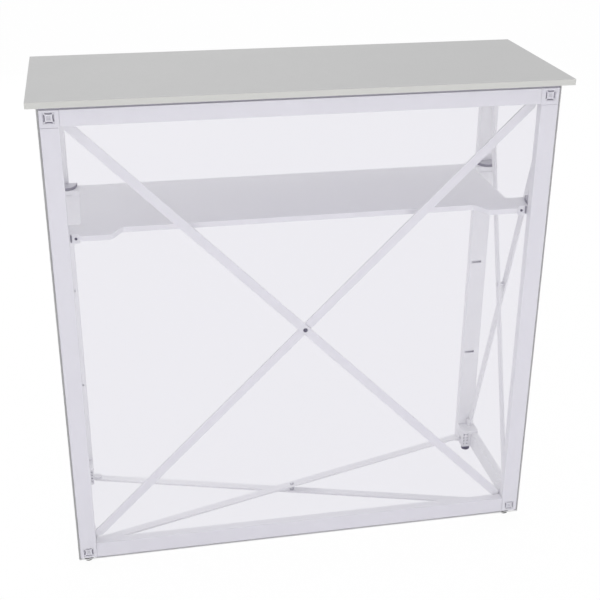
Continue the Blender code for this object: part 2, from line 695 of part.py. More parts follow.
# Front carriers: a block beside the post, a jaw over and a ledge under the ear, a hook in the slot
jaw_z = shelf_high + gap + jaw_height / 2
slot_z = z_bottom + slot_levels[-1]
hook_z = (slot_z - slot_height / 2 + gap, slot_z + slot_height / 2 - gap)
plate_near = member_depth + gap
plate_far = plate_near + carrier_thickness
ledge_z = (shelf_low - gap - ledge_thickness, shelf_low - gap)
hook_x = (slot_inset + gap, slot_inset + slot_width - gap)
for name, side in SIDES:
    carrier = block("shelf_clip_front_" + name, across(side, carrier_side, clip_end),
                    deep(-1, plate_near, plate_far),
                    (ledge_z[0], shelf_high + clip_rise), WHITE_PLASTIC)
    jaw = half_round(side * (x_side - front_jaw_centre), front_jaw_radius, front_jaw_depth,
                     y_front + plate_near)
    join(carrier, outline_plate("front_jaw_" + name, [jaw], jaw_height,
                                Matrix.Translation((0, 0, jaw_z)), None, cutters))
    join_block(carrier, "front_tongue_" + name, across(side, *hook_x),
               deep(-1, plate_near, plate_far), (hook_z[0], ledge_z[1]))
    join_block(carrier, "front_ledge_" + name, across(side, carrier_side, ledge_end),
               deep(-1, plate_near, plate_far + ledge_reach), ledge_z)
    join_block(carrier, "front_hook_" + name, across(side, *hook_x),
               deep(-1, member_depth - member_wall - hook_reach, plate_far), hook_z)
    screw_x = side * (x_side - screw_inset)
    through = Vector((0, 1, 0))
    plate_face = Vector((screw_x, y_front + plate_near, screw_z))
    cut(carrier, rod("clip_screw_hole_" + name, screw_radius + gap, plate_face - through * overrun,
                     through, carrier_thickness + 2 * overrun))
    ear_face = Vector((screw_x, ear_front, screw_z))
    depth_in_ear = screw_length - (ear_front - plate_face.y) + gap
    cut(shelf, rod("ear_screw_hole_" + name, screw_radius + gap, ear_face - through * overrun,
                   through, depth_in_ear + overrun))
    head = screw_head_height
    screw = turned("shelf_screw_" + name,
                   [(0, head + screw_length), (screw_radius, head + screw_length),
                    (screw_radius, head), (screw_head_radius, head), (screw_head_radius, 0), (0, 0)],
                   plate_face - through * (gap + head), through, DARK_STEEL, steps=20)
    drive = screw_drive / 2
    head_y = plate_face.y - gap - head
    cut_block(screw, "screw_drive_" + name, (screw_x - drive, screw_x + drive),
              (head_y - overrun, head_y + screw_drive_depth), (screw_z - drive, screw_z + drive))

# Back carriers: a stepped plate, with a half-round jaw over the back ear, a ledge under it and a slot hook
back_jaw_centres = {-1: back_jaw_centre_left, 1: back_jaw_centre_right}
plate_middle = plate_near + carrier_thickness / 2
standing = Matrix.Translation((0, y_back - plate_middle, 0)) @ Matrix.Rotation(math.pi / 2, 4, "X")
plate_low = shelf_high - back_plate_drop
for name, side in SIDES:
    outer, inner, wide = (side * (x_side - reach) for reach in (carrier_side, back_ledge_end, back_plate_end))
    plate = [(outer, plate_low), (wide, plate_low), (wide, ledge_z[1]), (inner, ledge_z[1]),
             (inner, jaw_z), (outer, jaw_z)]
    carrier = outline_plate("shelf_clip_back_" + name, [plate], carrier_thickness, standing, GREY_PLASTIC)
    jaw = half_round(side * (x_side - back_jaw_centres[side]), back_jaw_radius,
                     -(member_depth + back_jaw_depth - plate_middle), y_back - plate_middle)
    join(carrier, outline_plate("back_jaw_" + name, [jaw], jaw_height,
                                Matrix.Translation((0, 0, jaw_z)), None, cutters))
    join_block(carrier, "back_ledge_" + name, across(side, carrier_side + gap, back_ledge_end - gap),
               deep(1, plate_middle, member_depth + back_jaw_depth), ledge_z)
    join_block(carrier, "back_hook_" + name, across(side, *hook_x),
               deep(1, member_depth - member_wall - hook_reach, plate_middle), hook_z)

# Tabletop with blind holes, and the dowels that drop into the hubs
table_low = z_top + gap
half_table = x_side + table_side_overhang
table = block("tabletop", (-half_table, half_table), (-table_depth / 2, table_depth / 2),
              (table_low, table_low + table_thickness), GREY_BOARD, table_edge)
for end_name, end in (("front", -1), ("back", 1)):
    for name, side in SIDES:
        at_x = side * (x_side - hub_size / 2)
        at_y = (y_front if end < 0 else y_back) - end * (hub_near + hub_size / 2)
        low = z_top - dowel_in_hub
        length = dowel_in_hub + gap + dowel_in_table
        turned(f"table_dowel_{end_name}_{name}",
               [(0, length), (dowel_radius, length), (dowel_radius, dowel_tip),
                (dowel_radius - dowel_tip, 0), (0, 0)], (at_x, at_y, low), (0, 0, 1), STEEL)
        cut(table, rod(f"table_hole_{end_name}_{name}", dowel_radius + gap,
                       (at_x, at_y, table_low - overrun), (0, 0, 1),
                       dowel_in_table + gap + overrun))

# Levelling feet: a rubber pad, and a threaded stud with a collar that turns in it
for end_name, end in (("front", -1), ("back", 1)):
    for name, side in SIDES:
        tag = f"{end_name}_{name}"
        at_x = side * (x_side - foot_inset_x)
        at_y = (y_front if end < 0 else y_back) - end * foot_inset_y
        top, seat = foot_height, foot_height - stud_seat
        corner_arc = arc((foot_radius - foot_rounding, foot_rounding), foot_rounding, 0, -90, 5)
        turned("foot_pad_" + tag,
               [(0, seat), (stud_radius + gap, seat), (stud_radius + gap, top), (foot_radius, top)]
               + corner_arc + [(0, 0)], (at_x, at_y, 0), (0, 0, 1), BLACK_RUBBER)
        stud_low = seat + gap
        collar_low, collar_high = foot_height + gap, z_bottom - gap
        turned("foot_stud_" + tag,
               [(0, z_bottom + stud_length), (stud_radius, z_bottom + stud_length),
                (stud_radius, collar_high), (collar_radius, collar_high), (collar_radius, collar_low),
                (stud_radius, collar_low), (stud_radius, stud_low), (0, stud_low)],
               (at_x, at_y, 0), (0, 0, 1), STEEL)

# Front panel: a sheet stretched over the front frame, with its edge strip pressed into the groove
panel_inset = groove_lip + groove_width
block("front_panel", (-x_side + panel_inset, x_side - panel_inset),
      (y_front - gap - panel_thickness, y_front - gap),
      (z_bottom + panel_inset, z_top - panel_inset), SHEER_FABRIC)
front_ring("panel_edge_strip", groove_lip + gap, groove_lip + groove_width - gap, strip_recess,
           strip_recess + strip_depth, STRIP_RUBBER, parts)
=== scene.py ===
"""Looks of the exhibition counter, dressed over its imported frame.

Everything is in metres, with the front facing -Y and the floor at Z = 0. Each sub-assembly is a class that
takes its places from the frame's own nodes, builds the pieces that need more form than the frame gives them,
and dresses the rest.
"""

import logging
import math
from dataclasses import dataclass, field
from enum import Enum
from typing import Any, Iterable, NamedTuple, Sequence

import bmesh
import bpy
import numpy as np
from mathutils import Euler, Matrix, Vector


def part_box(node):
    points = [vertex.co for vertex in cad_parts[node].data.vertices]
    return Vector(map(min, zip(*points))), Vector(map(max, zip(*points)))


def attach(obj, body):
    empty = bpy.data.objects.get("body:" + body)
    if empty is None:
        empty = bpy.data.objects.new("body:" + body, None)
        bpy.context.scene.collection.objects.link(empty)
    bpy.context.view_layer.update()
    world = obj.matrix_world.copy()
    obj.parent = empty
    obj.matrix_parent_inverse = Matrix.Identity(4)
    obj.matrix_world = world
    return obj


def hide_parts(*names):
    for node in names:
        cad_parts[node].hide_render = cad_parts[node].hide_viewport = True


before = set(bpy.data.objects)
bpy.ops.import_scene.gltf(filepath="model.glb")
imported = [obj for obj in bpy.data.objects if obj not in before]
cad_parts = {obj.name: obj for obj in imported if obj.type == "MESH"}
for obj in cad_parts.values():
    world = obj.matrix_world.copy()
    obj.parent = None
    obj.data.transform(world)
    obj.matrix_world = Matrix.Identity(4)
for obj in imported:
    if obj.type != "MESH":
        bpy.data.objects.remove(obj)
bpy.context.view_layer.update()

LOG = logging.getLogger("exhibition_counter")
WELD = 2e-6                     # vertices nearer than this are one
CREASE = math.radians(32)       # edges sharper than this stay crisp
PLAY = 0.0003                   # gap between neighbouring pieces
PATTERN_MIDDLE = (0.3, 0.7)     # range that holds most of a noise pattern
WHITE = (1.0, 1.0, 1.0, 1.0)
ALONG_Y, ALONG_Z = (0, 1, 0), (0, 0, 1)

Colour = tuple[float, float, float]
Place = tuple[float, float, float]
Span = tuple[float, float]
Finish = bpy.types.Material
Item = bpy.types.Object
Node = bpy.types.Node
Socket = bpy.types.NodeSocket


class Choice(Enum):
    """A choice whose name, in small letters, is its word in the frame's node names."""

    @property
    def word(self) -> str:
        """The word."""
        return self.name.lower()


class Side(Choice):
    """Left and right of the counter, as seen from its front, with the sign of X."""

    LEFT = -1
    RIGHT = 1


class End(Choice):
    """Front and back of the counter, with the sign of Y."""

    FRONT = -1
    BACK = 1


class Level(Choice):
    """Bottom and top of the counter's frame, with the sign of Z."""

    BOTTOM = -1
    TOP = 1


class Body(Enum):
    """Bodies that move as one."""

    FRAME = "frame"
    TOP = "top"


class Slot(Enum):
    """Material slots of the record."""

    WHITE_PAINT = "white_paint"
    WHITE_PLASTIC = "white_plastic"
    STEEL = "steel"
    DARK_STEEL = "dark_steel"
    BLACK_RUBBER = "black_rubber"
    SHEER_FABRIC = "sheer_fabric"
    STRIP_RUBBER = "strip_rubber"


def tags(first: Iterable[Choice], second: Iterable[Choice] = Side) -> list[str]:
    """Words of every pair of choices, such as back_left."""
    return [f"{a.word}_{b.word}" for a in first for b in second]


def grey(level: float) -> Colour:
    """A neutral colour of a linear brightness."""
    return (level, level, level)


# ---------------------------------------- finishes


class Layer(NamedTuple):
    """A noise, or the distances to scattered points as pebbles, that a pattern is made of."""

    scale: float                    # cells in a metre, or in the relief's own scale
    detail: float = 2.0             # octaves of a noise
    rough: float = 0.5              # weight of each further octave
    share: float = 1.0              # weight of the layer, if it isn't the first one
    pebbled: bool = False
    stretch: Place | None = None    # further factor along each axis of the piece


Layers = tuple[Layer, ...]


class NodeSheet:
    """A node tree, with short calls to add to it."""

    def __init__(self, tree: bpy.types.NodeTree) -> None:
        """Takes over the tree of a material or of the world."""
        self.tree = tree

    def feed(self, node: Node, inputs: dict[str | int, Any]) -> None:
        """Wires sockets into a node and sets its constants.

        Args:
            node: Node that takes them.
            inputs: Socket or constant for each input, by the input's name or number.
        """
        for key, value in inputs.items():
            if isinstance(value, Socket):
                self.tree.links.new(value, node.inputs[key])
            else:
                node.inputs[key].default_value = value

    def add(self, kind: str, inputs: dict[str | int, Any] | None = None, **settings: Any) -> Node:
        """Adds a node.

        Args:
            kind: Blender's name of the node's type, less ShaderNode.
            inputs: What feed takes.
            **settings: Properties of the node, such as operation.

        Returns:
            The new node.
        """
        node = self.tree.nodes.new("ShaderNode" + kind)
        for key, value in settings.items():
            setattr(node, key, value)
        self.feed(node, inputs or {})
        return node

    def calc(self, operation: str, *terms: Socket | float) -> Socket:
        """The result of a sum or another operation on sockets and numbers."""
        return self.add("Math", dict(enumerate(terms)), operation=operation).outputs[0]

    def mixed(self, factor: Socket, first: Socket | Colour, second: Socket | Colour) -> Socket:
        """A colour between two colours or colour sockets, by a factor from 0 to 1."""
        ends = [c if isinstance(c, Socket) else (*c, 1.0) for c in (first, second)]
        return self.add("Mix", {0: factor, 6: ends[0], 7: ends[1]}, data_type="RGBA").outputs[2]

    def seen_rays(self) -> Socket:
        """1 for rays from the camera and for those that metal or glass sends on.

        Returns:
            A value socket.
        """
        path = self.add("LightPath").outputs
        direct = self.calc("MAXIMUM", path["Is Camera Ray"], path["Is Glossy Ray"])
        return self.calc("MAXIMUM", direct, path["Is Transmission Ray"])


class ShaderSheet(NodeSheet):
    """Node tree of one finish, with the patterns that the finishes share."""

    def __init__(self, name: str) -> None:
        """Starts a material with its one Principled shader.

        Args:
            name: Name of the material.
        """
        self.material = bpy.data.materials.new(name)
        self.material.use_nodes = True
        super().__init__(self.material.node_tree)
        self.shader = self.tree.nodes["Principled BSDF"]
        self.spot = self.add("TexCoord").outputs["Object"]

    def layer(self, layer: Layer, scale: float = 1.0) -> Socket:
        """The pattern of one layer.

        Args:
            layer: The layer.
            scale: Factor for its scale.

        Returns:
            A value socket.
        """
        spot, scale = self.spot, layer.scale * scale
        if layer.pebbled:
            return self.add("TexVoronoi", {"Scale": scale, "Vector": spot}).outputs["Distance"]
        if layer.stretch:
            spot = self.add("Mapping", {"Scale": layer.stretch, "Vector": spot}).outputs["Vector"]
        return self.add("TexNoise", {"Scale": scale, "Detail": layer.detail, "Roughness": layer.rough,
                                     "Vector": spot}).outputs["Fac"]

    def layers(self, layers: Layers, scale: float = 1.0) -> Socket:
        """The pattern of the first layer plus that of each further one times its share.

        Args:
            layers: The layers.
            scale: Factor for their scales.

        Returns:
            A value socket.
        """
        total = self.layer(layers[0], scale)
        for layer in layers[1:]:
            total = self.calc("MULTIPLY_ADD", self.layer(layer, scale), layer.share, total)
        return total

    def waves(self, scale: float, direction: str) -> Socket:
        """Sine bands across one axis, with the scale in bands on about six metres."""
        return self.add("TexWave", {"Scale": scale, "Distortion": 0.0, "Vector": self.spot},
                        wave_type="BANDS", bands_direction=direction).outputs["Fac"]

    def ramp(self, source: Socket, start: float, stop: float, low: float = 0.0, high: float = 1.0) -> Socket:
        """A value that goes from low to high while a source goes from start to stop."""
        return self.add("MapRange", {"Value": source, "From Min": start, "From Max": stop,
                                     "To Min": low, "To Max": high}).outputs["Result"]

    def spread(self, pattern: Socket, low: float = 0.0, high: float = 1.0) -> Socket:
        """Stretches the middle of a pattern over the range from low to high."""
        return self.ramp(pattern, *PATTERN_MIDDLE, low, high)

    def part(self, vector: Socket, axis: str) -> Socket:
        """One part of a vector: X, Y or Z."""
        return self.add("SeparateXYZ", {0: vector}).outputs[axis]

    def bump(self, height: Socket, strength: float, distance: float) -> None:
        """Gives the shader a relief, whose distance is its height in metres where the pattern is 1."""
        node = self.add("Bump", {"Strength": strength, "Distance": distance, "Height": height})
        self.feed(self.shader, {"Normal": node.outputs["Normal"]})

    def painted(self, base: Socket, rough: Socket, **values: float) -> Finish:
        """Feeds the shader and hands the material over.

        Args:
            base: Base colour.
            rough: Roughness.
            **values: Its other inputs, with underscores for the blanks in their names.

        Returns:
            The material.
        """
        named = {key.replace("_", " "): value for key, value in values.items()}
        self.feed(self.shader, {"Base Color": base, "Roughness": rough, **named})
        return self.material


@dataclass(frozen=True)
class Skin:
    """A finish of two tones in a pattern, with an uneven roughness and a fine relief."""

    name: str
    colour: Colour
    roughness: float = 0.5
    rough_span: Span = (0.06, 0.06)         # below and above the roughness
    rough_layer: Layer = Layer(90.0)
    low: Colour | None = None               # tone where the pattern is low, or None for the darkened colour
    high: Colour | None = None              # tone where the pattern is high, or None for the colour
    least_tone: float = 1.0                 # share of the colour that darkening leaves
    tone_layers: Layers = (Layer(1.0),)
    tone_range: Span = (0.0, 1.0)           # share of the high tone at both ends of the pattern
    relief_layers: Layers = (Layer(1.0),)
    relief_scale: float = 1.0
    relief_share: float = 0.6               # how much of the relief shows
    relief_height: float = 0.00002
    specular: float = 0.5
    metallic: float = 0.0

    def coloured(self, sheet: ShaderSheet) -> Socket:
        """The base colour.

        Args:
            sheet: Node tree of the finish.

        Returns:
            A colour socket.
        """
        pattern = sheet.spread(sheet.layers(self.tone_layers), *self.tone_range)
        low = self.low or tuple(c * self.least_tone for c in self.colour)
        return sheet.mixed(pattern, low, self.high or self.colour)

    def made(self) -> Finish:
        """Makes the finish.

        Returns:
            The material.
        """
        sheet = ShaderSheet(self.name)
        below, above = self.rough_span
        rough = sheet.spread(sheet.layer(self.rough_layer), self.roughness - below, self.roughness + above)
        relief = sheet.layers(self.relief_layers, self.relief_scale)
        sheet.bump(relief, self.relief_share, self.relief_height)
        return sheet.painted(self.coloured(sheet), rough, Specular_IOR_Level=self.specular,
                             Metallic=self.metallic)


@dataclass(frozen=True)
class PowderCoat(Skin):
    """Powder-coated metal: a smooth film with orange peel and a barely uneven tone."""

    roughness: float = 0.42
    rough_span: Span = (0.04, 0.05)
    rough_layer: Layer = Layer(35.0, 3.0)
    least_tone: float = 0.978
    tone_layers: Layers = (Layer(9.0, 3.0), Layer(60.0, share=0.25))
    relief_layers: Layers = (Layer(1.0, rough=0.4), Layer(3.1, 1.0, share=0.3))
    relief_scale: float = 420.0
    relief_share: float = 0.7
    relief_height: float = 0.00003
    specular: float = 0.45


@dataclass(frozen=True)
class MouldedPlastic(Skin):
    """Injection-moulded plastic: a spark-eroded matt skin, a little cloudier where the melt flowed.

    A second tone may fill the corner of space that lies past one place on each of some axes.
    """

    least_tone: float = 0.965
    tone_layers: Layers = (Layer(1.0, 3.0, 0.55, stretch=(24.0, 24.0, 70.0)),)
    relief_layers: Layers = (Layer(1.0, pebbled=True), Layer(1.0, share=0.5))
    relief_scale: float = 1500.0
    specular: float = 0.4
    second: Colour = grey(0.5)
    corner: tuple[tuple[str, float], ...] = ()      # axis and place past which the second tone starts
    seam: float = 0.0002                            # width over which the tones change

    def coloured(self, sheet: ShaderSheet) -> Socket:
        """The melt's tone, and the second one in the corner.

        Args:
            sheet: Node tree of the finish.

        Returns:
            A colour socket.
        """
        base, inside = super().coloured(sheet), None
        for axis, place in self.corner:
            step = sheet.ramp(sheet.part(sheet.spot, axis), place - self.seam / 2, place + self.seam / 2)
            inside = step if inside is None else sheet.calc("MULTIPLY", inside, step)
        return base if inside is None else sheet.mixed(inside, base, self.second)


@dataclass(frozen=True)
class LaminateBoard(Skin):
    """Board with a pebbled laminate on top, a plain one below and a smoother band on its edges."""

    rough_span: Span = (0.05, 0.06)
    rough_layer: Layer = Layer(70.0, 3.0)
    least_tone: float = 0.985
    tone_layers: Layers = (Layer(4.0, 4.0, 0.6),)
    relief_layers: Layers = (Layer(1.0, pebbled=True), Layer(0.6, 3.0, share=0.8))
    relief_share: float = 0.5
    relief_height: float = 0.00005
    band: Colour = grey(0.90)
    under: Colour = grey(0.90)
    fleck: Colour = grey(0.86)
    fleck_layer: Layer = Layer(520.0, rough=0.6)
    fleck_range: Span = (0.60, 0.72)
    fleck_most: float = 0.5
    level: float = 0.0              # height of the board's middle
    change: float = 0.0001          # half the height over which the top's tone gives way to the underside's
    flat: Span = (0.55, 0.75)       # upward part of the normal, on the band and on a face

    def coloured(self, sheet: ShaderSheet) -> Socket:
        """The flecked face, the underside and the band.

        Args:
            sheet: Node tree of the finish.

        Returns:
            A colour socket.
        """
        flecks = sheet.ramp(sheet.layer(self.fleck_layer), *self.fleck_range, 0.0, self.fleck_most)
        below = sheet.ramp(sheet.part(sheet.spot, "Z"), self.level + self.change, self.level - self.change)
        flecked = sheet.mixed(flecks, super().coloured(sheet), self.fleck)
        upward = sheet.calc("ABSOLUTE", sheet.part(sheet.add("TexCoord").outputs["Normal"], "Z"))
        faces = sheet.mixed(below, flecked, self.under)
        return sheet.mixed(sheet.ramp(upward, *self.flat), self.band, faces)


@dataclass(frozen=True)
class BrightSteel(Skin):
    """Turned and zinc-plated steel, with fine tool marks round its axis and a mottled passivation."""

    colour: Colour = (0.60, 0.61, 0.63)
    roughness: float = 0.30
    rough_span: Span = (0.08, 0.12)
    rough_layer: Layer = Layer(900.0)
    low: Colour | None = (0.46, 0.46, 0.45)
    tone_layers: Layers = (Layer(260.0, 4.0, 0.65),)
    relief_layers: Layers = (Layer(1.0, stretch=(600.0, 600.0, 5200.0)),)
    relief_share: float = 0.35
    relief_height: float = 0.00001
    metallic: float = 1.0


@dataclass(frozen=True)
class DarkSteel(Skin):
    """Blackened steel: an oiled dark skin that has gone thin and brighter in patches."""

    colour: Colour = (0.055, 0.055, 0.060)
    roughness: float = 0.38
    rough_span: Span = (0.10, 0.12)
    rough_layer: Layer = Layer(700.0, 3.0)
    high: Colour | None = (0.20, 0.20, 0.205)
    tone_layers: Layers = (Layer(340.0, 5.0, 0.7),)
    tone_range: Span = (-0.5, 0.7)
    relief_scale: float = 2100.0
    relief_share: float = 0.4
    relief_height: float = 0.00001
    metallic: float = 0.85


@dataclass(frozen=True)
class Rubber(Skin):
    """Moulded rubber: dull, faintly dusty and finely pitted."""

    roughness: float = 0.72
    rough_span: Span = (0.08, 0.10)
    rough_layer: Layer = Layer(180.0, 3.0)
    tone_layers: Layers = (Layer(230.0, 5.0, 0.7),)
    tone_range: Span = (-0.35, 0.45)
    relief_layers: Layers = (Layer(1.0, pebbled=True), Layer(0.5, 3.0, share=0.6))
    relief_scale: float = 2600.0
    relief_share: float = 0.55
    specular: float = 0.3


@dataclass(frozen=True)
class SheerKnit:
    """Sheer knitted display fabric: a lilac haze over what lies behind it, with fine wales and courses."""

    name: str
    colour: Colour = (0.31, 0.28, 0.44)
    cover: float = 0.1254           # share of the view that one face of the sheet covers
    wales: float = 520.0
    courses: float = 640.0
    paler: float = 1.03
    drift: Layer = Layer(3.0)
    loop_share: float = 0.25        # how much of the loops' relief shows
    loop_height: float = 0.00006
    rough_range: Span = (0.78, 0.88)
    specular: float = 0.08

    def made(self) -> Finish:
        """Makes the finish.

        Returns:
            The material.
        """
        sheet = ShaderSheet(self.name)
        pale = tuple(min(1.0, c * self.paler) for c in self.colour)
        base = sheet.mixed(sheet.spread(sheet.layer(self.drift)), self.colour, pale)
        loops = sheet.calc("MULTIPLY", sheet.waves(self.wales, "X"), sheet.waves(self.courses, "Z"))
        sheet.bump(loops, self.loop_share, self.loop_height)
        rough = sheet.spread(loops, *self.rough_range)
        return sheet.painted(base, rough, Alpha=self.cover, Specular_IOR_Level=self.specular)


class Finishes:
    """Every finish of the counter, each made once and shared by its pieces."""

    def __init__(self) -> None:
        """Makes the materials."""
        self.frame_paint = PowderCoat("frame_powder_coat", grey(0.88)).made()
        self.bar_paint = PowderCoat("brace_powder_coat", grey(0.88), 0.38, relief_scale=520.0).made()
        self.corner_plastic = MouldedPlastic("corner_block_plastic", grey(0.88)).made()
        self.hub_plastic = MouldedPlastic("hub_plastic", grey(0.86)).made()
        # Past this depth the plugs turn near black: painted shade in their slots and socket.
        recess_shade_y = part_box("corner_plug_top_left")[0].y + 0.0036       # where the painted shade in the slots and socket is half way
        self.plug_plastic = MouldedPlastic("plug_plastic", grey(0.88), 0.45, second=grey(0.10),
                                           corner=(("Y", recess_shade_y),), seam=0.0050).made()
        self.table_laminate = LaminateBoard("tabletop_laminate", grey(0.62), 0.62, relief_scale=900.0,
                                            specular=0.02, band=(0.55, 0.55, 0.535), under=grey(0.86),
                                            fleck=grey(0.50), level=centre_of("tabletop")[2]).made()
        self.shelf_laminate = LaminateBoard("shelf_laminate", grey(0.93), 0.60, relief_scale=1100.0,
                                            specular=0.03, level=centre_of("shelf")[2]).made()
        self.steel = BrightSteel("zinc_steel").made()
        self.pale_steel = BrightSteel("bright_rivet_steel", (0.82, 0.82, 0.83), 0.34, low=grey(0.70)).made()
        self.dark_steel = DarkSteel("blackened_steel").made()
        self.foot_rubber = Rubber("foot_rubber", grey(0.012), high=(0.055, 0.054, 0.052)).made()
        # Dark rubber tone of the jaws' lips and of the strips beside the front posts: painted shade.
        self.lip_rubber = Rubber("clip_lip_rubber", (0.22, 0.22, 0.225), 0.6, high=grey(0.30)).made()
        # The edge strip is real silicone, and its mid grey also paints the shade of the groove that it
        # fills.
        self.strip_rubber = Rubber("strip_silicone", grey(0.42), 0.6, high=(0.50, 0.50, 0.49)).made()
        self.sheet_fabric = SheerKnit("sheer_knit").made()


def centre_of(node: str) -> np.ndarray:
    """Middle of a frame node's box."""
    low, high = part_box(node)
    return (np.array(low) + np.array(high)) / 2


def flank(post: str, side: Side) -> float:
    """X of the outer face of a side's front_post or back_post."""
    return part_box(f"{post}_{side.word}")[0 if side is Side.LEFT else 1].x


def dress(names: Iterable[str], finish: Finish) -> list[str]:
    """Gives frame nodes a finish, without touching their meshes.

    Args:
        names: Names of the nodes.
        finish: Material for all of them.

    Returns:
        The names, for the log.
    """
    done = list(names)
    for name in done:
        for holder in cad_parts[name].material_slots:
            holder.material = finish
    return done


# ---------------------------------------- surfaces


def placed(name: str, data: Any) -> Item:
    """Puts data into the scene.

    Args:
        name: Name of the object.
        data: Mesh, light or camera.

    Returns:
        The new object, at the origin.
    """
    made = bpy.data.objects.new(name, data)
    bpy.context.scene.collection.objects.link(made)
    return made


def piece_from(name: str, points: np.ndarray, faces: list[list[int]], finish: Finish) -> Item:
    """Makes one closed piece from points and faces, welds its seams and poles and turns its faces outwards.

    Args:
        name: Name of the piece.
        points: Array of places.
        faces: Indices of each face's corners.
        finish: Material.

    Returns:
        The new object.
    """
    mesh = bpy.data.meshes.new(name)
    mesh.from_pydata(points.reshape(-1, 3).tolist(), [], faces)
    cage = bmesh.new()
    cage.from_mesh(mesh)
    bmesh.ops.remove_doubles(cage, verts=cage.verts, dist=WELD)
    bmesh.ops.dissolve_degenerate(cage, dist=WELD / 2, edges=cage.edges)
    bmesh.ops.recalc_face_normals(cage, faces=cage.faces)
    cage.to_mesh(mesh)
    cage.free()
    mesh.shade_smooth()
    mesh.set_sharp_from_angle(angle=CREASE)
    mesh.materials.append(finish)
    return placed(name, mesh)


def quads(rows: int, columns: int, round_rows: bool = False, round_columns: bool = False) -> list[list[int]]:
    """Faces of a grid: each joins a point with its neighbours in the next row and column.

    Args:
        rows: Points along the first parameter.
        columns: Points along the second.
        round_rows: True if the last row joins the first.
        round_columns: True if the last column joins the first.

    Returns:
        Four indices for each face.
    """
    index = np.arange(rows * columns).reshape(rows, columns)
    if round_columns:
        index = np.concatenate([index, index[:, :1]], axis=1)
    if round_rows:
        index = np.concatenate([index, index[:1]], axis=0)
    corners = (index[:-1, :-1], index[:-1, 1:], index[1:, 1:], index[1:, :-1])
    return np.stack(corners, axis=-1).reshape(-1, 4).tolist()


def angles_round(count: int) -> np.ndarray:
    """Even angles round a circle, in radians from 0."""
    return 2 * np.pi * np.arange(count) / count


def about(axis: Sequence[float]) -> tuple[np.ndarray, np.ndarray, np.ndarray]:
    """Two directions square to an axis, and the axis itself, right-handed.

    Args:
        axis: Direction.

    Returns:
        First and second cross direction and the unit axis.
    """
    line = np.asarray(axis, float) / np.linalg.norm(axis)
    helper = np.eye(3)[int(np.argmin(np.abs(line)))]
    first = np.cross(helper, line)
    first /= np.linalg.norm(first)
    return first, np.cross(line, first), line


def turned(name: str, radii: np.ndarray, heights: np.ndarray, sides: int, base: Sequence[float],
           axis: Sequence[float], finish: Finish) -> Item:
    """A round piece: point (i, j) lies at angle 2 pi j / sides, at radius radii[i, j] and height heights[i].

    Args:
        name: Name of the piece.
        radii: Radius at each height, or at each height and angle.
        heights: Height of each row above the base, with the first and last row at radius 0.
        sides: Points round the axis.
        base: Foot of the axis.
        axis: Direction of the axis.
        finish: Material.

    Returns:
        The new object.
    """
    first, second, line = about(axis)
    angles = angles_round(sides)
    reach = np.broadcast_to(radii.reshape(len(heights), -1), (len(heights), sides))
    round_way = np.cos(angles)[None, :, None] * first + np.sin(angles)[None, :, None] * second
    points = np.asarray(base, float) + reach[..., None] * round_way + heights[:, None, None] * line
    return piece_from(name, points, quads(len(heights), sides, round_columns=True), finish)


def lofted(name: str, points: np.ndarray, finish: Finish) -> Item:
    """A closed bar through a row of outlines, capped at both ends.

    Args:
        name: Name of the piece.
        points: Places by outline and by corner.
        finish: Material.

    Returns:
        The new object.
    """
    rows, columns = points.shape[:2]
    caps = [list(range(columns)), list(range((rows - 1) * columns, rows * columns))]
    return piece_from(name, points, quads(rows, columns, round_columns=True) + caps, finish)


def swept(name: str, path: np.ndarray, outward: np.ndarray, profile: np.ndarray, finish: Finish) -> Item:
    """A closed bar: path point i plus profile point j's first number outwards and its second upwards."""
    across = profile[None, :, :1] * outward[:, None, :]
    return lofted(name, path[:, None, :] + across + profile[None, :, 1:] * np.array(ALONG_Z), finish)


def soft_outline(half_across: float, half_up: float, steps: int = 28) -> np.ndarray:
    """A rectangle with rounded corners: the signed square root of cosine and sine, times the two halves.

    Args:
        half_across: Half width.
        half_up: Half height.
        steps: Points round it.

    Returns:
        Pairs of places.
    """
    t = angles_round(steps)
    wave = np.stack([np.cos(t), np.sin(t)], axis=-1)
    return np.sign(wave) * np.abs(wave) ** 0.5 * (half_across, half_up)


def ellipse_dome(radius: float, height: float, steps: int) -> tuple[np.ndarray, np.ndarray]:
    """Radii and heights of a dome from rim to crown: radius cos t at height sin t, up to a right angle."""
    t = np.linspace(0, np.pi / 2, steps)
    return radius * np.cos(t), height * np.sin(t)


def threaded(heights: np.ndarray, radius: float, depth: float, pitch: float, run_in: float, sides: int
             ) -> np.ndarray:
    """A screw thread: its radius falls by the depth times a triangle wave of height over pitch less turn.

    Args:
        heights: Heights of the rows.
        radius: Radius of the crests.
        depth: Depth of the grooves.
        pitch: Height of one turn.
        run_in: Height over which the grooves reach their depth.
        sides: Points round the axis.

    Returns:
        Radius at each height and angle.
    """
    phase = (heights[:, None] / pitch - angles_round(sides)[None, :] / (2 * np.pi)) % 1.0
    fade = np.clip((heights - heights[0]) / run_in, 0, 1)[:, None]
    return radius - depth * fade * (1 - np.abs(2 * phase - 1))


def ready(piece: Item, body: str, slot: Slot, *nodes: str) -> str:
    """Lets a piece ride on a body and stand for the frame's nodes.

    Args:
        piece: The piece.
        body: Name of the body.
        slot: Material slot of the record; not used.
        *nodes: Nodes that the piece stands for.

    Returns:
        Name of the piece.
    """
    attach(piece, body)
    if nodes:
        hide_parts(*nodes)
    return piece.name


# ---------------------------------------- the counter


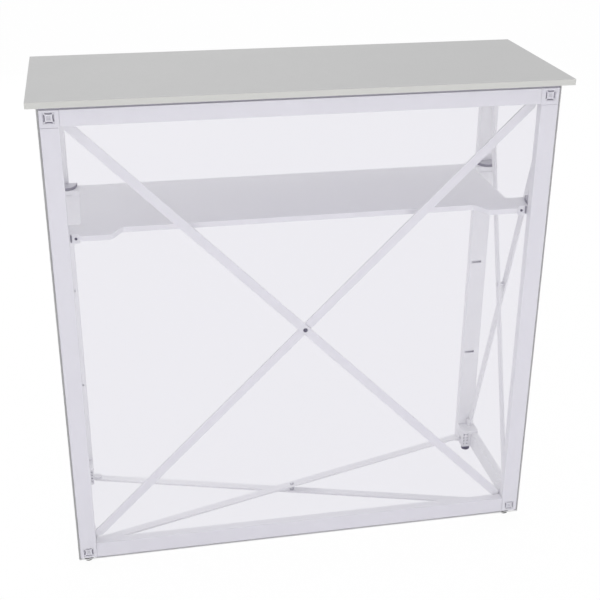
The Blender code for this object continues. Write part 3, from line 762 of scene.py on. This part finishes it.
@dataclass
class FrameWork:
    """Posts with the webs behind their slots, rails, corner blocks and hubs of the standing frame."""

    finishes: Finishes
    web_middle: float = 0.0240      # from the frame's side
    web_depth: float = 0.0066       # web's middle behind the post's front face
    web_half: Span = (0.0120, 0.0004)
    web_ends: Span = (0.235, 0.512)      # above the post's lower end
    web_rows: int = 9

    def web(self, side: Side) -> str:
        """The thin upright web inside a back post, behind the slots and clear of the hooks.

        Its middle line rises straight, with the outline's corners at the two halves to each side of it.

        Args:
            side: Left or right post.

        Returns:
            Name of the piece.
        """
        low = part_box(f"back_post_{side.word}")[0]
        middle = flank("back_post", side) - side.value * self.web_middle
        corners = np.array([[-1, -1], [1, -1], [1, 1], [-1, 1]]) * self.web_half
        points = np.empty((self.web_rows, len(corners), 3))
        points[:, :, :2] = corners + (middle, low.y + self.web_depth)
        points[:, :, 2] = low.z + np.linspace(*self.web_ends, self.web_rows)[:, None]
        web = lofted(f"post_web_{side.word}", points, self.finishes.frame_paint)
        return ready(web, Body.FRAME.value, Slot.WHITE_PAINT)

    def build(self) -> list[str]:
        """Dresses every member and adds the webs.

        Returns:
            Names of the nodes and pieces.
        """
        members = [f"{end.word}_post_{side.word}" for end in End for side in Side]
        members += [f"side_{level.word}_rail_{side.word}" for level in Level for side in Side]
        members += ["front_top_rail", "front_bottom_rail", "back_top_rail"]
        corners = [f"front_corner_{side.word}" for side in Side]
        hubs = [f"hub_{tag}_{side.word}" for tag in tags(End, Level) for side in Side]
        return (dress(members, self.finishes.frame_paint)
                + dress(corners, self.finishes.corner_plastic)
                + dress(hubs, self.finishes.hub_plastic)
                + [self.web(side) for side in Side])


@dataclass
class CornerPlugs:
    """Square plugs in the front frame's corners: four bowed slots round a square socket."""

    finishes: Finishes
    cells: int = 108                # grid cells across the face
    slot_half_length: float = 0.0066
    slot_half_width: float = 0.0012
    slot_middle: float = 0.0086     # slot's middle line at its ends, from the plug's centre
    slot_bow: float = 0.0007        # how far the slot's middle comes nearer to the centre
    slot_depth: float = 0.0052
    socket_half: float = 0.0038
    socket_depth: float = 0.0022
    wall: float = 0.00024           # width over which a recess's wall falls
    edge: float = 0.0006            # rounding of the face's rim

    def relief(self, u: np.ndarray, v: np.ndarray, half: float) -> np.ndarray:
        """Depth of the face below its plane, as a function of the place on it.

        A slot is where the distance to its bowed middle line is under the slot's half width and the distance
        along it under its half length. The socket is a square, and the rim falls off in a quarter ellipse.

        Args:
            u: Sideways distance from the plug's centre.
            v: Upward distance.
            half: Half the plug's width.

        Returns:
            Depths, in metres.
        """
        depth = np.zeros_like(u)
        for along, across in ((u, v), (u, -v), (v, u), (v, -u)):
            share = along / self.slot_half_length
            middle = self.slot_middle - self.slot_bow * (1 - share ** 2)
            off = np.maximum(np.abs(across - middle) - self.slot_half_width,
                             np.abs(along) - self.slot_half_length)
            depth = np.maximum(depth, self.slot_depth * np.clip(-off / self.wall, 0, 1))
        square = np.maximum(np.abs(u), np.abs(v))
        depth = np.maximum(depth, self.socket_depth * np.clip((self.socket_half - square) / self.wall, 0, 1))
        rim = np.clip((square - half + self.edge) / self.edge, 0, 1)
        return np.maximum(depth, self.edge * (1 - np.sqrt(1 - rim ** 2)))

    def plug(self, tag: str) -> str:
        """A plug: a grid with the relief in front, straight walls round it and one flat face behind.

        Args:
            tag: Words of the corner.

        Returns:
            Name of the piece.
        """
        node = f"corner_plug_{tag}"
        low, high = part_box(node)
        middle = centre_of(node)
        half = (high.x - low.x) / 2
        line = np.linspace(-half, half, self.cells + 1)
        u, v = np.meshgrid(line, line, indexing="ij")
        face = np.stack([middle[0] + u, low.y + self.relief(u, v, half), middle[2] + v], axis=-1)
        index = np.arange(u.size).reshape(u.shape)
        ring = np.concatenate([index[:-1, 0], index[-1, :-1], index[:0:-1, -1], index[0, :0:-1]])
        back = face.reshape(-1, 3)[ring]
        back[:, 1] = high.y
        far = np.arange(len(ring)) + u.size
        walls = np.stack([ring, np.roll(ring, -1), np.roll(far, -1), far], axis=-1)
        faces = quads(*u.shape) + walls.tolist() + [far.tolist()]
        points = np.concatenate([face.reshape(-1, 3), back])
        plug = piece_from(f"slotted_plug_{tag}", points, faces, self.finishes.plug_plastic)
        return ready(plug, Body.FRAME.value, Slot.WHITE_PLASTIC, node)

    def build(self) -> list[str]:
        """Builds the four plugs."""
        return [self.plug(tag) for tag in tags(Level)]


@dataclass
class CrossBraces:
    """Flat bars in pairs, each pair on a riveted centre pivot."""

    finishes: Finishes
    dome_steps: int = 9
    sides: int = 40
    shank: float = 0.0025
    spacer: float = 0.0050
    head: float = 0.0046
    head_height: float = 0.0028
    rim: float = 0.0008             # straight rim under the dome

    def rivet(self, place: str, bars: list[str], axis: int, finish: Finish, slot: Slot) -> str:
        """A rivet with a domed head at each end and a spacer between the bars.

        Its profile runs from one crown down the dome, along the shank, round the spacer, and back out to the
        other crown.

        Args:
            place: Word of the cross.
            bars: The two bars that it joins.
            axis: Number of the axis along which it lies.
            finish: Material.
            slot: Material slot of the record.

        Returns:
            Name of the piece.
        """
        node = f"{place}_brace_rivet"
        ends = [[corner[axis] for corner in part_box(bar)] for bar in bars]
        space = max(ends[0][0] - ends[1][1], ends[1][0] - ends[0][1])
        low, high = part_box(node)
        line = np.eye(3)[axis]
        length = high[axis] - low[axis]
        dome, rise = ellipse_dome(self.head, self.head_height - self.rim, self.dome_steps)
        first = (length - space) / 2
        end_r = np.concatenate([dome[::-1], [self.head, self.shank, self.shank, self.spacer]])
        end_h = np.concatenate([self.head_height - self.rim - rise[::-1],
                                [self.head_height, self.head_height, first, first]])
        piece = turned(f"{place}_cross_rivet", np.concatenate([end_r, end_r[::-1]]),
                       np.concatenate([end_h, (length - end_h)[::-1]]), self.sides,
                       centre_of(node) - line * length / 2, line, finish)
        return ready(piece, Body.FRAME.value, slot, node)

    def build(self) -> list[str]:
        """Dresses the bars and builds the rivets.

        Returns:
            Names of the nodes and pieces.
        """
        crosses = [("front", ("falling", "rising"), 1, self.finishes.dark_steel, Slot.DARK_STEEL),
                   ("floor", ("lower", "upper"), 2, self.finishes.steel, Slot.STEEL)]
        crosses += [(side.word, ("outer", "inner"), 0, self.finishes.pale_steel, Slot.STEEL)
                    for side in Side]
        names = []
        for place, layers, axis, finish, slot in crosses:
            bars = dress([f"{place}_brace_{layer}" for layer in layers], self.finishes.bar_paint)
            names += [*bars, self.rivet(place, bars, axis, finish, slot)]
        return names


@dataclass
class ShelfSet:
    """Shelf board, the clips that carry its ears, the dark lips and gap strips of painted shade on those
    clips, and the front clips' screws.
    """

    finishes: Finishes
    block_tone: Colour = grey(0.86)
    jaw_tone: Colour = (0.50, 0.50, 0.51)
    block_depth: float = 0.0034     # how far the front clip's pale block reaches behind the post
    jaw_height: float = 0.0055
    jaws: dict[End, Span] = field(default_factory=lambda: {
        End.FRONT: (0.0135, 0.0600), End.BACK: (0.0228, 0.0360)})      # radius along the shelf, and depth
    jaw_middles: dict[tuple[End, Side], float] = field(default_factory=lambda: {
        (End.FRONT, Side.LEFT): 0.0185, (End.FRONT, Side.RIGHT): 0.0185,
        (End.BACK, Side.LEFT): 0.0345, (End.BACK, Side.RIGHT): 0.0240})     # from the frame's side
    # The lip is a dark rim of painted shade along each jaw's edge.
    lip_half: float = 0.0006
    lip_over: float = 0.00025       # how far the lip passes the jaw above and below
    lip_start: float = 0.02         # angle from the post at which the lip starts, in radians
    lip_steps: int = 49
    # A dark strip of painted shadow fills the gap between each front post and its clip's block.
    pad_near: float = 0.0412        # painted shadow strip beside the post, from the frame's side
    pad_far: float = 0.0446
    pad_thickness: float = 0.0011
    pad_past: float = 0.0002        # how far the shadow strip reaches behind the post
    pad_inset: float = 0.0004       # clip that stays bare above and below the shadow strip
    pad_steps: int = 5
    head: float = 0.0027
    head_height: float = 0.0020
    dome_share: float = 0.7         # dome's part of the head's height
    dome_steps: int = 12
    socket: float = 0.0011
    socket_depths: Span = (0.75, 0.70)   # at its middle and its edge, in head heights
    socket_flat: float = 0.8        # edge of the socket's bottom, in its radii
    shank: float = 0.0018
    point: float = 0.002            # plain end under the thread
    thread_pitch: float = 0.0012
    thread_depth: float = 0.0004
    thread_run_in: float = 0.004
    thread_rows: int = 110
    sides: int = 36

    def lip(self, end: End, side: Side) -> str:
        """A dark lip round a jaw, which paints the shade along the jaw's edge: a soft outline carried along
        half an ellipse.

        The path is the jaw's middle plus its radius times the cosine and its depth times the sine of an
        angle from 0 to pi, and the outward direction is the ellipse's normal.

        Args:
            end: Front or back clip.
            side: Left or right clip.

        Returns:
            Name of the piece.
        """
        radius, reach = self.jaws[end]
        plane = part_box(f"{end.word}_post_left")[1 if end is End.FRONT else 0].y - end.value * PLAY
        middle = flank("front_post", side) - side.value * self.jaw_middles[end, side]
        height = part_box("shelf")[1].z + PLAY + self.jaw_height / 2
        t = np.linspace(self.lip_start, np.pi - self.lip_start, self.lip_steps)
        depth = -end.value * reach
        path = np.stack([middle + radius * np.cos(t), plane + depth * np.sin(t), np.full_like(t, height)],
                        axis=-1)
        outward = np.stack([np.cos(t) / radius, np.sin(t) / depth, np.zeros_like(t)], axis=-1)
        outward /= np.linalg.norm(outward, axis=1)[:, None]
        outline = soft_outline(self.lip_half, self.jaw_height / 2 + self.lip_over)
        # Its dark rubber tone is painted shade.
        lip = swept(f"jaw_lip_{end.word}_{side.word}", path, outward, outline, self.finishes.lip_rubber)
        return ready(lip, Body.FRAME.value, Slot.BLACK_RUBBER)

    def pad(self, side: Side) -> str:
        """Painted shadow in the gap between the front post and the clip's block: a dark soft outline carried
        straight back.

        Args:
            side: Left or right clip.

        Returns:
            Name of the piece.
        """
        top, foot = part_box(f"shelf_clip_front_{side.word}")[1].z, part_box("shelf")[0].z
        middle = flank("front_post", side) - side.value * (self.pad_near + self.pad_far) / 2
        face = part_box("front_post_left")[1].y
        t = np.linspace(0, 1, self.pad_steps)
        path = np.stack([np.full_like(t, middle), face - self.pad_thickness * (1 - t) + self.pad_past,
                         np.full_like(t, (top + foot) / 2)], axis=-1)
        outline = soft_outline((self.pad_far - self.pad_near) / 2, (top - foot) / 2 - self.pad_inset)
        # Its dark rubber tone is painted shadow.
        pad = swept(f"clip_pad_{side.word}", path, np.tile([1.0, 0.0, 0.0], (len(t), 1)), outline,
                    self.finishes.lip_rubber)
        return ready(pad, Body.FRAME.value, Slot.BLACK_RUBBER)

    def screw(self, side: Side) -> str:
        """A domed screw with a round socket and a threaded shank.

        The profile runs from the bottom of the socket over the dome and down the thread to its point.

        Args:
            side: Left or right screw.

        Returns:
            Name of the piece.
        """
        node = f"shelf_screw_{side.word}"
        low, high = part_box(node)
        length = high.y - low.y
        dome_r, dome_h = ellipse_dome(self.head, self.head_height * self.dome_share, self.dome_steps)
        outside = dome_r > self.socket
        dome_r, crown = dome_r[outside], self.head_height * self.dome_share - dome_h[outside]
        socket_h = [self.head_height * share for share in self.socket_depths]
        run = np.linspace(self.head_height, length - self.point, self.thread_rows)
        thread = threaded(run, self.shank, self.thread_depth, self.thread_pitch, self.thread_run_in,
                          self.sides)
        head = np.concatenate([[0, self.socket * self.socket_flat, self.socket], dome_r[::-1], [self.head]])
        radii = np.concatenate([np.repeat(head[:, None], self.sides, axis=1), thread,
                                np.zeros((1, self.sides))])
        heights = np.concatenate([socket_h, [crown[-1]], crown[::-1], [self.head_height], run, [length]])
        middle = centre_of(node)
        screw = turned(f"domed_screw_{side.word}", radii, heights, self.sides, (middle[0], low.y, middle[2]),
                       ALONG_Y, self.finishes.dark_steel)
        return ready(screw, Body.FRAME.value, Slot.DARK_STEEL, node)

    def build(self) -> list[str]:
        """Dresses the board and the clips, and builds the dark lips and gap strips of painted shade, and the
        screws.

        Returns:
            Names of the nodes and pieces.
        """
        above = ("Z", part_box("shelf")[1].z)
        behind = ("Y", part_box("front_post_left")[1].y + self.block_depth)
        names = dress(["shelf"], self.finishes.shelf_laminate)
        for end, corner in ((End.FRONT, (above, behind)), (End.BACK, (above,))):
            plastic = MouldedPlastic(f"{end.word}_clip_plastic", self.block_tone, second=self.jaw_tone,
                                     corner=corner).made()
            names += dress([f"shelf_clip_{tag}" for tag in tags([end])], plastic)
        names += [self.lip(end, side) for end in End for side in Side]
        return names + [make(side) for make in (self.pad, self.screw) for side in Side]


@dataclass
class LiftOffTop:
    """Tabletop and the fluted dowels that locate it."""

    finishes: Finishes
    flutes: int = 12
    flute_depth: float = 0.00018
    sides: int = 72
    rows: int = 22
    tip: float = 0.0012             # chamfer at each end

    def dowel(self, tag: str) -> str:
        """A dowel, with flutes between its chamfered ends.

        Its radius is the nominal one less the flute depth times half of one minus the cosine of the angle
        times the number of flutes.

        Args:
            tag: Words of the corner.

        Returns:
            Name of the piece.
        """
        node = f"table_dowel_{tag}"
        low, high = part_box(node)
        radius, length = (high.x - low.x) / 2, high.z - low.z
        along = np.concatenate([[0, 0], np.linspace(self.tip, length - self.tip, self.rows),
                                [length, length]])
        plain = np.concatenate([[0, radius - self.tip], np.full(self.rows, radius), [radius - self.tip, 0]])
        inside = np.concatenate([np.zeros(3), np.ones(self.rows - 2), np.zeros(3)])
        wave = (1 - np.cos(self.flutes * angles_round(self.sides))) / 2
        fluted = plain[:, None] - self.flute_depth * inside[:, None] * wave[None, :]
        dowel = turned(f"fluted_dowel_{tag}", fluted, along, self.sides, (*centre_of(node)[:2], low.z),
                       ALONG_Z, self.finishes.steel)
        return ready(dowel, Body.TOP.value, Slot.STEEL, node)

    def build(self) -> list[str]:
        """Dresses the board and builds the dowels."""
        return dress(["tabletop"], self.finishes.table_laminate) + [self.dowel(tag) for tag in tags(End)]


@dataclass
class LevellingFeet:
    """Rubber pads and the threaded studs with a hexagon collar that turn in them."""

    finishes: Finishes
    pad_sides: int = 96
    ribs: int = 24
    rib_depth: float = 0.00035
    rib_start: float = 0.6          # share of that depth at both ends of a rib
    sole: tuple[float, ...] = (0.0, 0.45, 0.50, 0.55)           # radii of the hollow below, in pad radii
    sole_heights: tuple[float, ...] = (0.0006, 0.0006, 0.0003, 0.0)
    rounding: float = 0.0030
    rounding_rows: int = 8
    side_rows: int = 12
    side_top: float = 0.0022        # end of the straight side, under the pad's top
    shoulder: Span = (0.0003, 0.0012)            # inwards and under the top
    bevel: float = 0.0010           # how far the top's edge lies inside the side
    bore: float = 0.0043            # hole for the stud, in the pad's top
    bore_depth: float = 0.0050
    stud_sides: int = 36
    stud: float = 0.0040
    stud_tip: Span = (0.0007, 0.0008)            # chamfer inwards and down
    pitch: float = 0.00125
    thread_depth: float = 0.00055
    rows_per_turn: int = 10
    collar: float = 0.0065          # across the hexagon's corners, halved
    collar_bevel: Span = (0.0003, 0.0004)        # inwards and along

    def pad(self, tag: str) -> str:
        """A pad whose side has upright ribs: its radius falls by the rib depth times a cosine of the angle.

        Args:
            tag: Words of the corner.

        Returns:
            Name of the piece.
        """
        node = f"foot_pad_{tag}"
        low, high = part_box(node)
        radius, top = (high.x - low.x) / 2, high.z
        inwards, down = self.shoulder
        turn = np.linspace(0, np.pi / 2, self.rounding_rows)
        radii = np.concatenate([radius * np.array(self.sole),
                                radius - self.rounding + self.rounding * np.sin(turn),
                                np.full(self.side_rows, radius),
                                [radius - inwards, radius - self.bevel, self.bore, self.bore, 0]])
        heights = np.concatenate([self.sole_heights,
                                  self.rounding * (1 - np.cos(turn)),
                                  np.linspace(self.rounding, top - self.side_top, self.side_rows),
                                  [top - down, top, top, top - self.bore_depth, top - self.bore_depth]])
        weight = np.concatenate([np.zeros(len(self.sole) + self.rounding_rows), [0, self.rib_start],
                                 np.ones(self.side_rows - 4), [self.rib_start, 0], np.zeros(5)])
        wave = 0.5 - 0.5 * np.cos(self.ribs * angles_round(self.pad_sides))
        ribbed = radii[:, None] - self.rib_depth * weight[:, None] * wave[None, :]
        pad = turned(f"ribbed_pad_{tag}", ribbed, heights, self.pad_sides, (*centre_of(node)[:2], 0.0),
                     ALONG_Z, self.finishes.foot_rubber)
        return ready(pad, f"{tag}_foot", Slot.BLACK_RUBBER, node)

    def threaded_stud(self, tag: str) -> str:
        """A stud with a screw thread and a hexagon collar.

        The hexagon's radius is its flat's distance over the cosine of the angle from the flat.

        Args:
            tag: Words of the corner.

        Returns:
            Name of the piece.
        """
        node = f"foot_stud_{tag}"
        low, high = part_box(node)
        collar_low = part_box(f"foot_pad_{tag}")[1].z + PLAY
        collar_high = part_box("front_bottom_rail")[0].z - PLAY
        rows = int((high.z - collar_high) / self.pitch * self.rows_per_turn)
        thread_z = np.linspace(collar_high, high.z - self.stud_tip[1], rows)
        thread = threaded(thread_z, self.stud, self.thread_depth, self.pitch, self.pitch, self.stud_sides)
        flat = self.collar * math.cos(math.pi / 6)
        hexagon = flat / np.cos((angles_round(self.stud_sides) + np.pi / 6) % (np.pi / 3) - np.pi / 6)
        inwards, along = self.collar_bevel
        bevelled = np.minimum(hexagon, self.collar - inwards)
        plain = np.full(self.stud_sides, self.stud)
        radii = np.concatenate([[0 * plain, plain, plain, bevelled, hexagon, hexagon, bevelled],
                                thread, [plain - self.stud_tip[0], 0 * plain]])
        heights = np.concatenate([[low.z, low.z, collar_low, collar_low,
                                   collar_low + along, collar_high - along, collar_high],
                                  thread_z, [high.z, high.z]])
        stud = turned(f"threaded_stud_{tag}", radii, heights, self.stud_sides, (*centre_of(node)[:2], 0.0),
                      ALONG_Z, self.finishes.steel)
        return ready(stud, f"{tag}_screw", Slot.STEEL, node)

    def build(self) -> list[str]:
        """Builds four pads and four studs."""
        return [make(tag) for tag in tags(End) for make in (self.pad, self.threaded_stud)]


@dataclass
class FrontSheet:
    """Sheer sheet stretched over the front frame, and the ribbed strip that holds its edge in the groove."""

    finishes: Finishes
    thickness: float = 0.00030
    plane: float = 0.00070          # sheet's middle, in front of the frame's face
    flat_inset: float = 0.0006      # where the sheet starts to turn, inside the groove's edge
    turn: float = 0.0012            # radius of that turn
    turn_rows: int = 7
    tuck: float = 0.0014            # straight part that goes into the groove
    cells: int = 72
    corner: float = 0.0018          # radius of the strip's corners
    corner_rows: int = 7
    strip_half: float = 0.00155
    strip_play: float = 0.00001
    strip_rows: int = 33
    rib: float = 0.00028
    rib_count: int = 4

    def tucked(self, half: float) -> tuple[np.ndarray, np.ndarray, float]:
        """Outward place and drop of the sheet along one half, as functions of the length along the cloth.

        Up to the turn the place is the length and the drop is 0. On the turn they are the sine and one minus
        the cosine of a quarter circle. After it the place stays and the drop grows.

        Args:
            half: Half width of the opening inside the groove.

        Returns:
            Places and drops from one edge to the other, and the cloth's whole length.
        """
        flat = half - self.flat_inset
        arc = self.turn * np.pi / 2
        lengths = np.concatenate([np.linspace(0, flat, self.cells // 2 + 1)[:-1],
                                  flat + np.linspace(0, arc, self.turn_rows),
                                  [flat + arc + self.tuck]])
        on_turn = np.clip((lengths - flat) / self.turn, 0, np.pi / 2)
        place = np.minimum(lengths, flat) + self.turn * np.sin(on_turn)
        drop = self.turn * (1 - np.cos(on_turn)) + np.clip(lengths - flat - arc, 0, None)
        both = np.concatenate([-place[:0:-1], place])
        drops = np.concatenate([drop[:0:-1], drop])
        return both, drops, float(2 * lengths[-1])

    def sheet(self) -> str:
        """The cloth: place (i, j) is the tucked place of i and j, and it drops by the larger of their drops.

        Returns:
            Name of the piece.
        """
        low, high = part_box("front_panel")
        middle = centre_of("front_panel")
        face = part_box("front_bottom_rail")[0].y
        xs, x_drop, width = self.tucked((high.x - low.x) / 2)
        zs, z_drop, height = self.tucked((high.z - low.z) / 2)
        drop = np.maximum(x_drop[:, None], z_drop[None, :])
        points = np.stack([np.broadcast_to(middle[0] + xs[:, None], drop.shape), face - self.plane + drop,
                           np.broadcast_to(middle[2] + zs[None, :], drop.shape)], axis=-1)
        cloth = piece_from("stretched_front_sheet", points, quads(*drop.shape), self.finishes.sheet_fabric)
        wall = cloth.modifiers.new("cloth_thickness", "SOLIDIFY")
        wall.thickness = self.thickness
        wall.offset = 0.0
        name = ready(cloth, Body.FRAME.value, Slot.SHEER_FABRIC, "front_panel")
        return name

    def strip(self) -> str:
        """The edge strip: a ribbed profile carried round a rectangle with small round corners.

        Half the profile's width at a depth is its nominal half width less the rib height times one minus a
        wave, which is the cosine of the depth over the rib pitch, or 0 where that is below 0.

        Returns:
            Name of the piece.
        """
        low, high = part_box("panel_edge_strip")
        centre = centre_of("panel_edge_strip")
        middle = self.strip_half + self.strip_play
        half = np.array([(high.x - low.x) / 2 - middle, (high.z - low.z) / 2 - middle])
        turns = np.linspace(0, np.pi / 2, self.corner_rows)
        angles = np.concatenate([turns + quarter * np.pi / 2 for quarter in range(4)])
        signs = np.repeat([[1, 1], [-1, 1], [-1, -1], [1, -1]], len(turns), axis=0)
        way = np.stack([np.cos(angles), np.sin(angles)], axis=-1)
        path = signs * (half - self.corner) + self.corner * way
        depth = np.linspace(0, high.y - low.y, self.strip_rows)
        ribs = np.clip(np.cos(depth / depth[-1] * 2 * np.pi * self.rib_count), 0, 1)
        width = self.strip_half - self.rib * (1 - ribs)
        across = np.concatenate([width, -width[::-1]])
        along = np.concatenate([depth, depth[::-1]])
        flat = path[:, None, :] + across[None, :, None] * way[:, None, :]
        points = np.stack([centre[0] + flat[..., 0], np.broadcast_to(low.y + along, flat.shape[:2]),
                           centre[2] + flat[..., 1]], axis=-1)
        faces = quads(*flat.shape[:2], round_rows=True, round_columns=True)
        # Its grey finish is partly the strip's own colour and partly painted shade of the groove.
        strip = piece_from("ribbed_edge_strip", points, faces, self.finishes.strip_rubber)
        return ready(strip, Body.FRAME.value, Slot.STRIP_RUBBER, "panel_edge_strip")

    def build(self) -> list[str]:
        """Builds the sheet and its strip."""
        return [self.sheet(), self.strip()]


# ---------------------------------------- the studio


@dataclass(frozen=True)
class Lamp:
    """A soft area lamp."""

    name: str
    place: Place
    aim: Place
    size: float
    power: float

    def hang(self) -> None:
        """Puts the lamp into the scene, turned to its aim."""
        light = bpy.data.lights.new(self.name, "AREA")
        light.shape = "DISK"
        light.size = self.size
        light.energy = self.power
        lamp = placed(self.name, light)
        lamp.location = self.place
        lamp.rotation_euler = (Vector(self.aim) - Vector(self.place)).to_track_quat("-Z", "Y").to_euler()


@dataclass
class Studio:
    """Pale floor, soft light and the photograph's viewpoint."""

    eye: Place = (-0.40330, -2.15606, 1.54833)
    tilt: Place = (65.0461, -0.2878, -10.8548)      # degrees about X, Y and Z
    lens: float = 66.651
    film: float = 36.0
    farthest: float = 200.0         # distance to which the camera sees
    floor_half: float = 30.0
    world_light: float = 0.81
    floor_tone: float = 0.90
    floor_shade: float = 0.05       # how much of its own shading the camera sees on the floor
    floor_glow: float = 0.952
    lamps: tuple[Lamp, ...] = (
        Lamp("front_lamp", (0.0, -4.0, 1.6), (0.0, 0.0, 0.5), 2.4, 8.0),
        Lamp("low_front_lamp", (0.0, -2.4, 0.15), (0.0, 0.0, 0.3), 1.6, 22.0),
        Lamp("right_lamp", (2.8, -2.8, 1.2), (0.0, 0.0, 0.5), 2.4, 7.0),
        Lamp("left_lamp", (-4.0, 0.0, 1.5), (0.0, 0.0, 0.5), 2.4, 22.0),
        Lamp("back_lamp", (0.0, 4.0, 1.8), (0.0, 0.0, 0.5), 2.4, 26.0),
    )

    def light_world(self) -> None:
        """Even light from all round, and white where the camera looks past the floor."""
        world = bpy.data.worlds.new("studio")
        bpy.context.scene.world = world
        world.use_nodes = True
        sheet = NodeSheet(world.node_tree)
        light = sheet.tree.nodes["Background"]
        sheet.feed(light, {"Color": WHITE, "Strength": self.world_light})
        white = sheet.add("Background", {"Color": WHITE, "Strength": 1.0})
        choice = sheet.add("MixShader", {0: sheet.seen_rays(), 1: light.outputs[0], 2: white.outputs[0]})
        sheet.feed(sheet.tree.nodes["World Output"], {"Surface": choice.outputs[0]})

    def floor_paint(self) -> Finish:
        """A paint that the camera sees as white, with soft shadows on it.

        Returns:
            The material.
        """
        made = bpy.data.materials.new("floor_paint")
        made.use_nodes = True
        sheet = NodeSheet(made.node_tree)
        sheet.tree.nodes.clear()
        seen = sheet.seen_rays()
        tone = sheet.mixed(seen, grey(self.floor_tone), grey(self.floor_shade))
        matt = sheet.add("BsdfDiffuse", {"Color": tone})
        glow = sheet.add("Emission", {"Strength": sheet.calc("MULTIPLY", seen, self.floor_glow)})
        both = sheet.add("AddShader", {0: matt.outputs[0], 1: glow.outputs[0]})
        sheet.add("OutputMaterial", {"Surface": both.outputs[0]})
        return made

    def lay_floor(self) -> None:
        """A flat floor under the counter, as a grid of four faces."""
        line = np.linspace(-self.floor_half, self.floor_half, 3)
        x, y = np.meshgrid(line, line, indexing="ij")
        mesh = bpy.data.meshes.new("studio_floor")
        mesh.from_pydata(np.stack([x, y, np.zeros_like(x)], axis=-1).reshape(-1, 3).tolist(), [],
                         quads(*x.shape))
        mesh.flip_normals()
        mesh.materials.append(self.floor_paint())
        floor = placed("studio_floor", mesh)

    def set_camera(self) -> None:
        """The photograph's viewpoint, found by fitting a camera to the counter's own edges."""
        camera = bpy.data.cameras.new("photo_camera")
        camera.lens = self.lens
        camera.sensor_width = self.film
        camera.clip_end = self.farthest
        holder = placed("photo_camera", camera)
        holder.location = self.eye
        holder.rotation_euler = Euler([math.radians(a) for a in self.tilt], "XYZ")
        bpy.context.scene.camera = holder

    def build(self) -> None:
        """Sets up light, floor, camera and a plain view transform."""
        bpy.context.scene.view_settings.view_transform = "Standard"
        self.light_world()
        self.lay_floor()
        self.set_camera()
        for lamp in self.lamps:
            lamp.hang()


def main() -> None:
    """Builds the studio and then the counter, one sub-assembly after another."""
    logging.basicConfig(level=logging.INFO, format="%(name)s: %(message)s")
    Studio().build()
    finishes = Finishes()
    for section in (FrameWork, CornerPlugs, CrossBraces, ShelfSet, LiftOffTop, LevellingFeet, FrontSheet):
        for name in section(finishes).build():
            LOG.info("%s: %s", section.__name__, name)


if __name__ == "__main__":
    main()
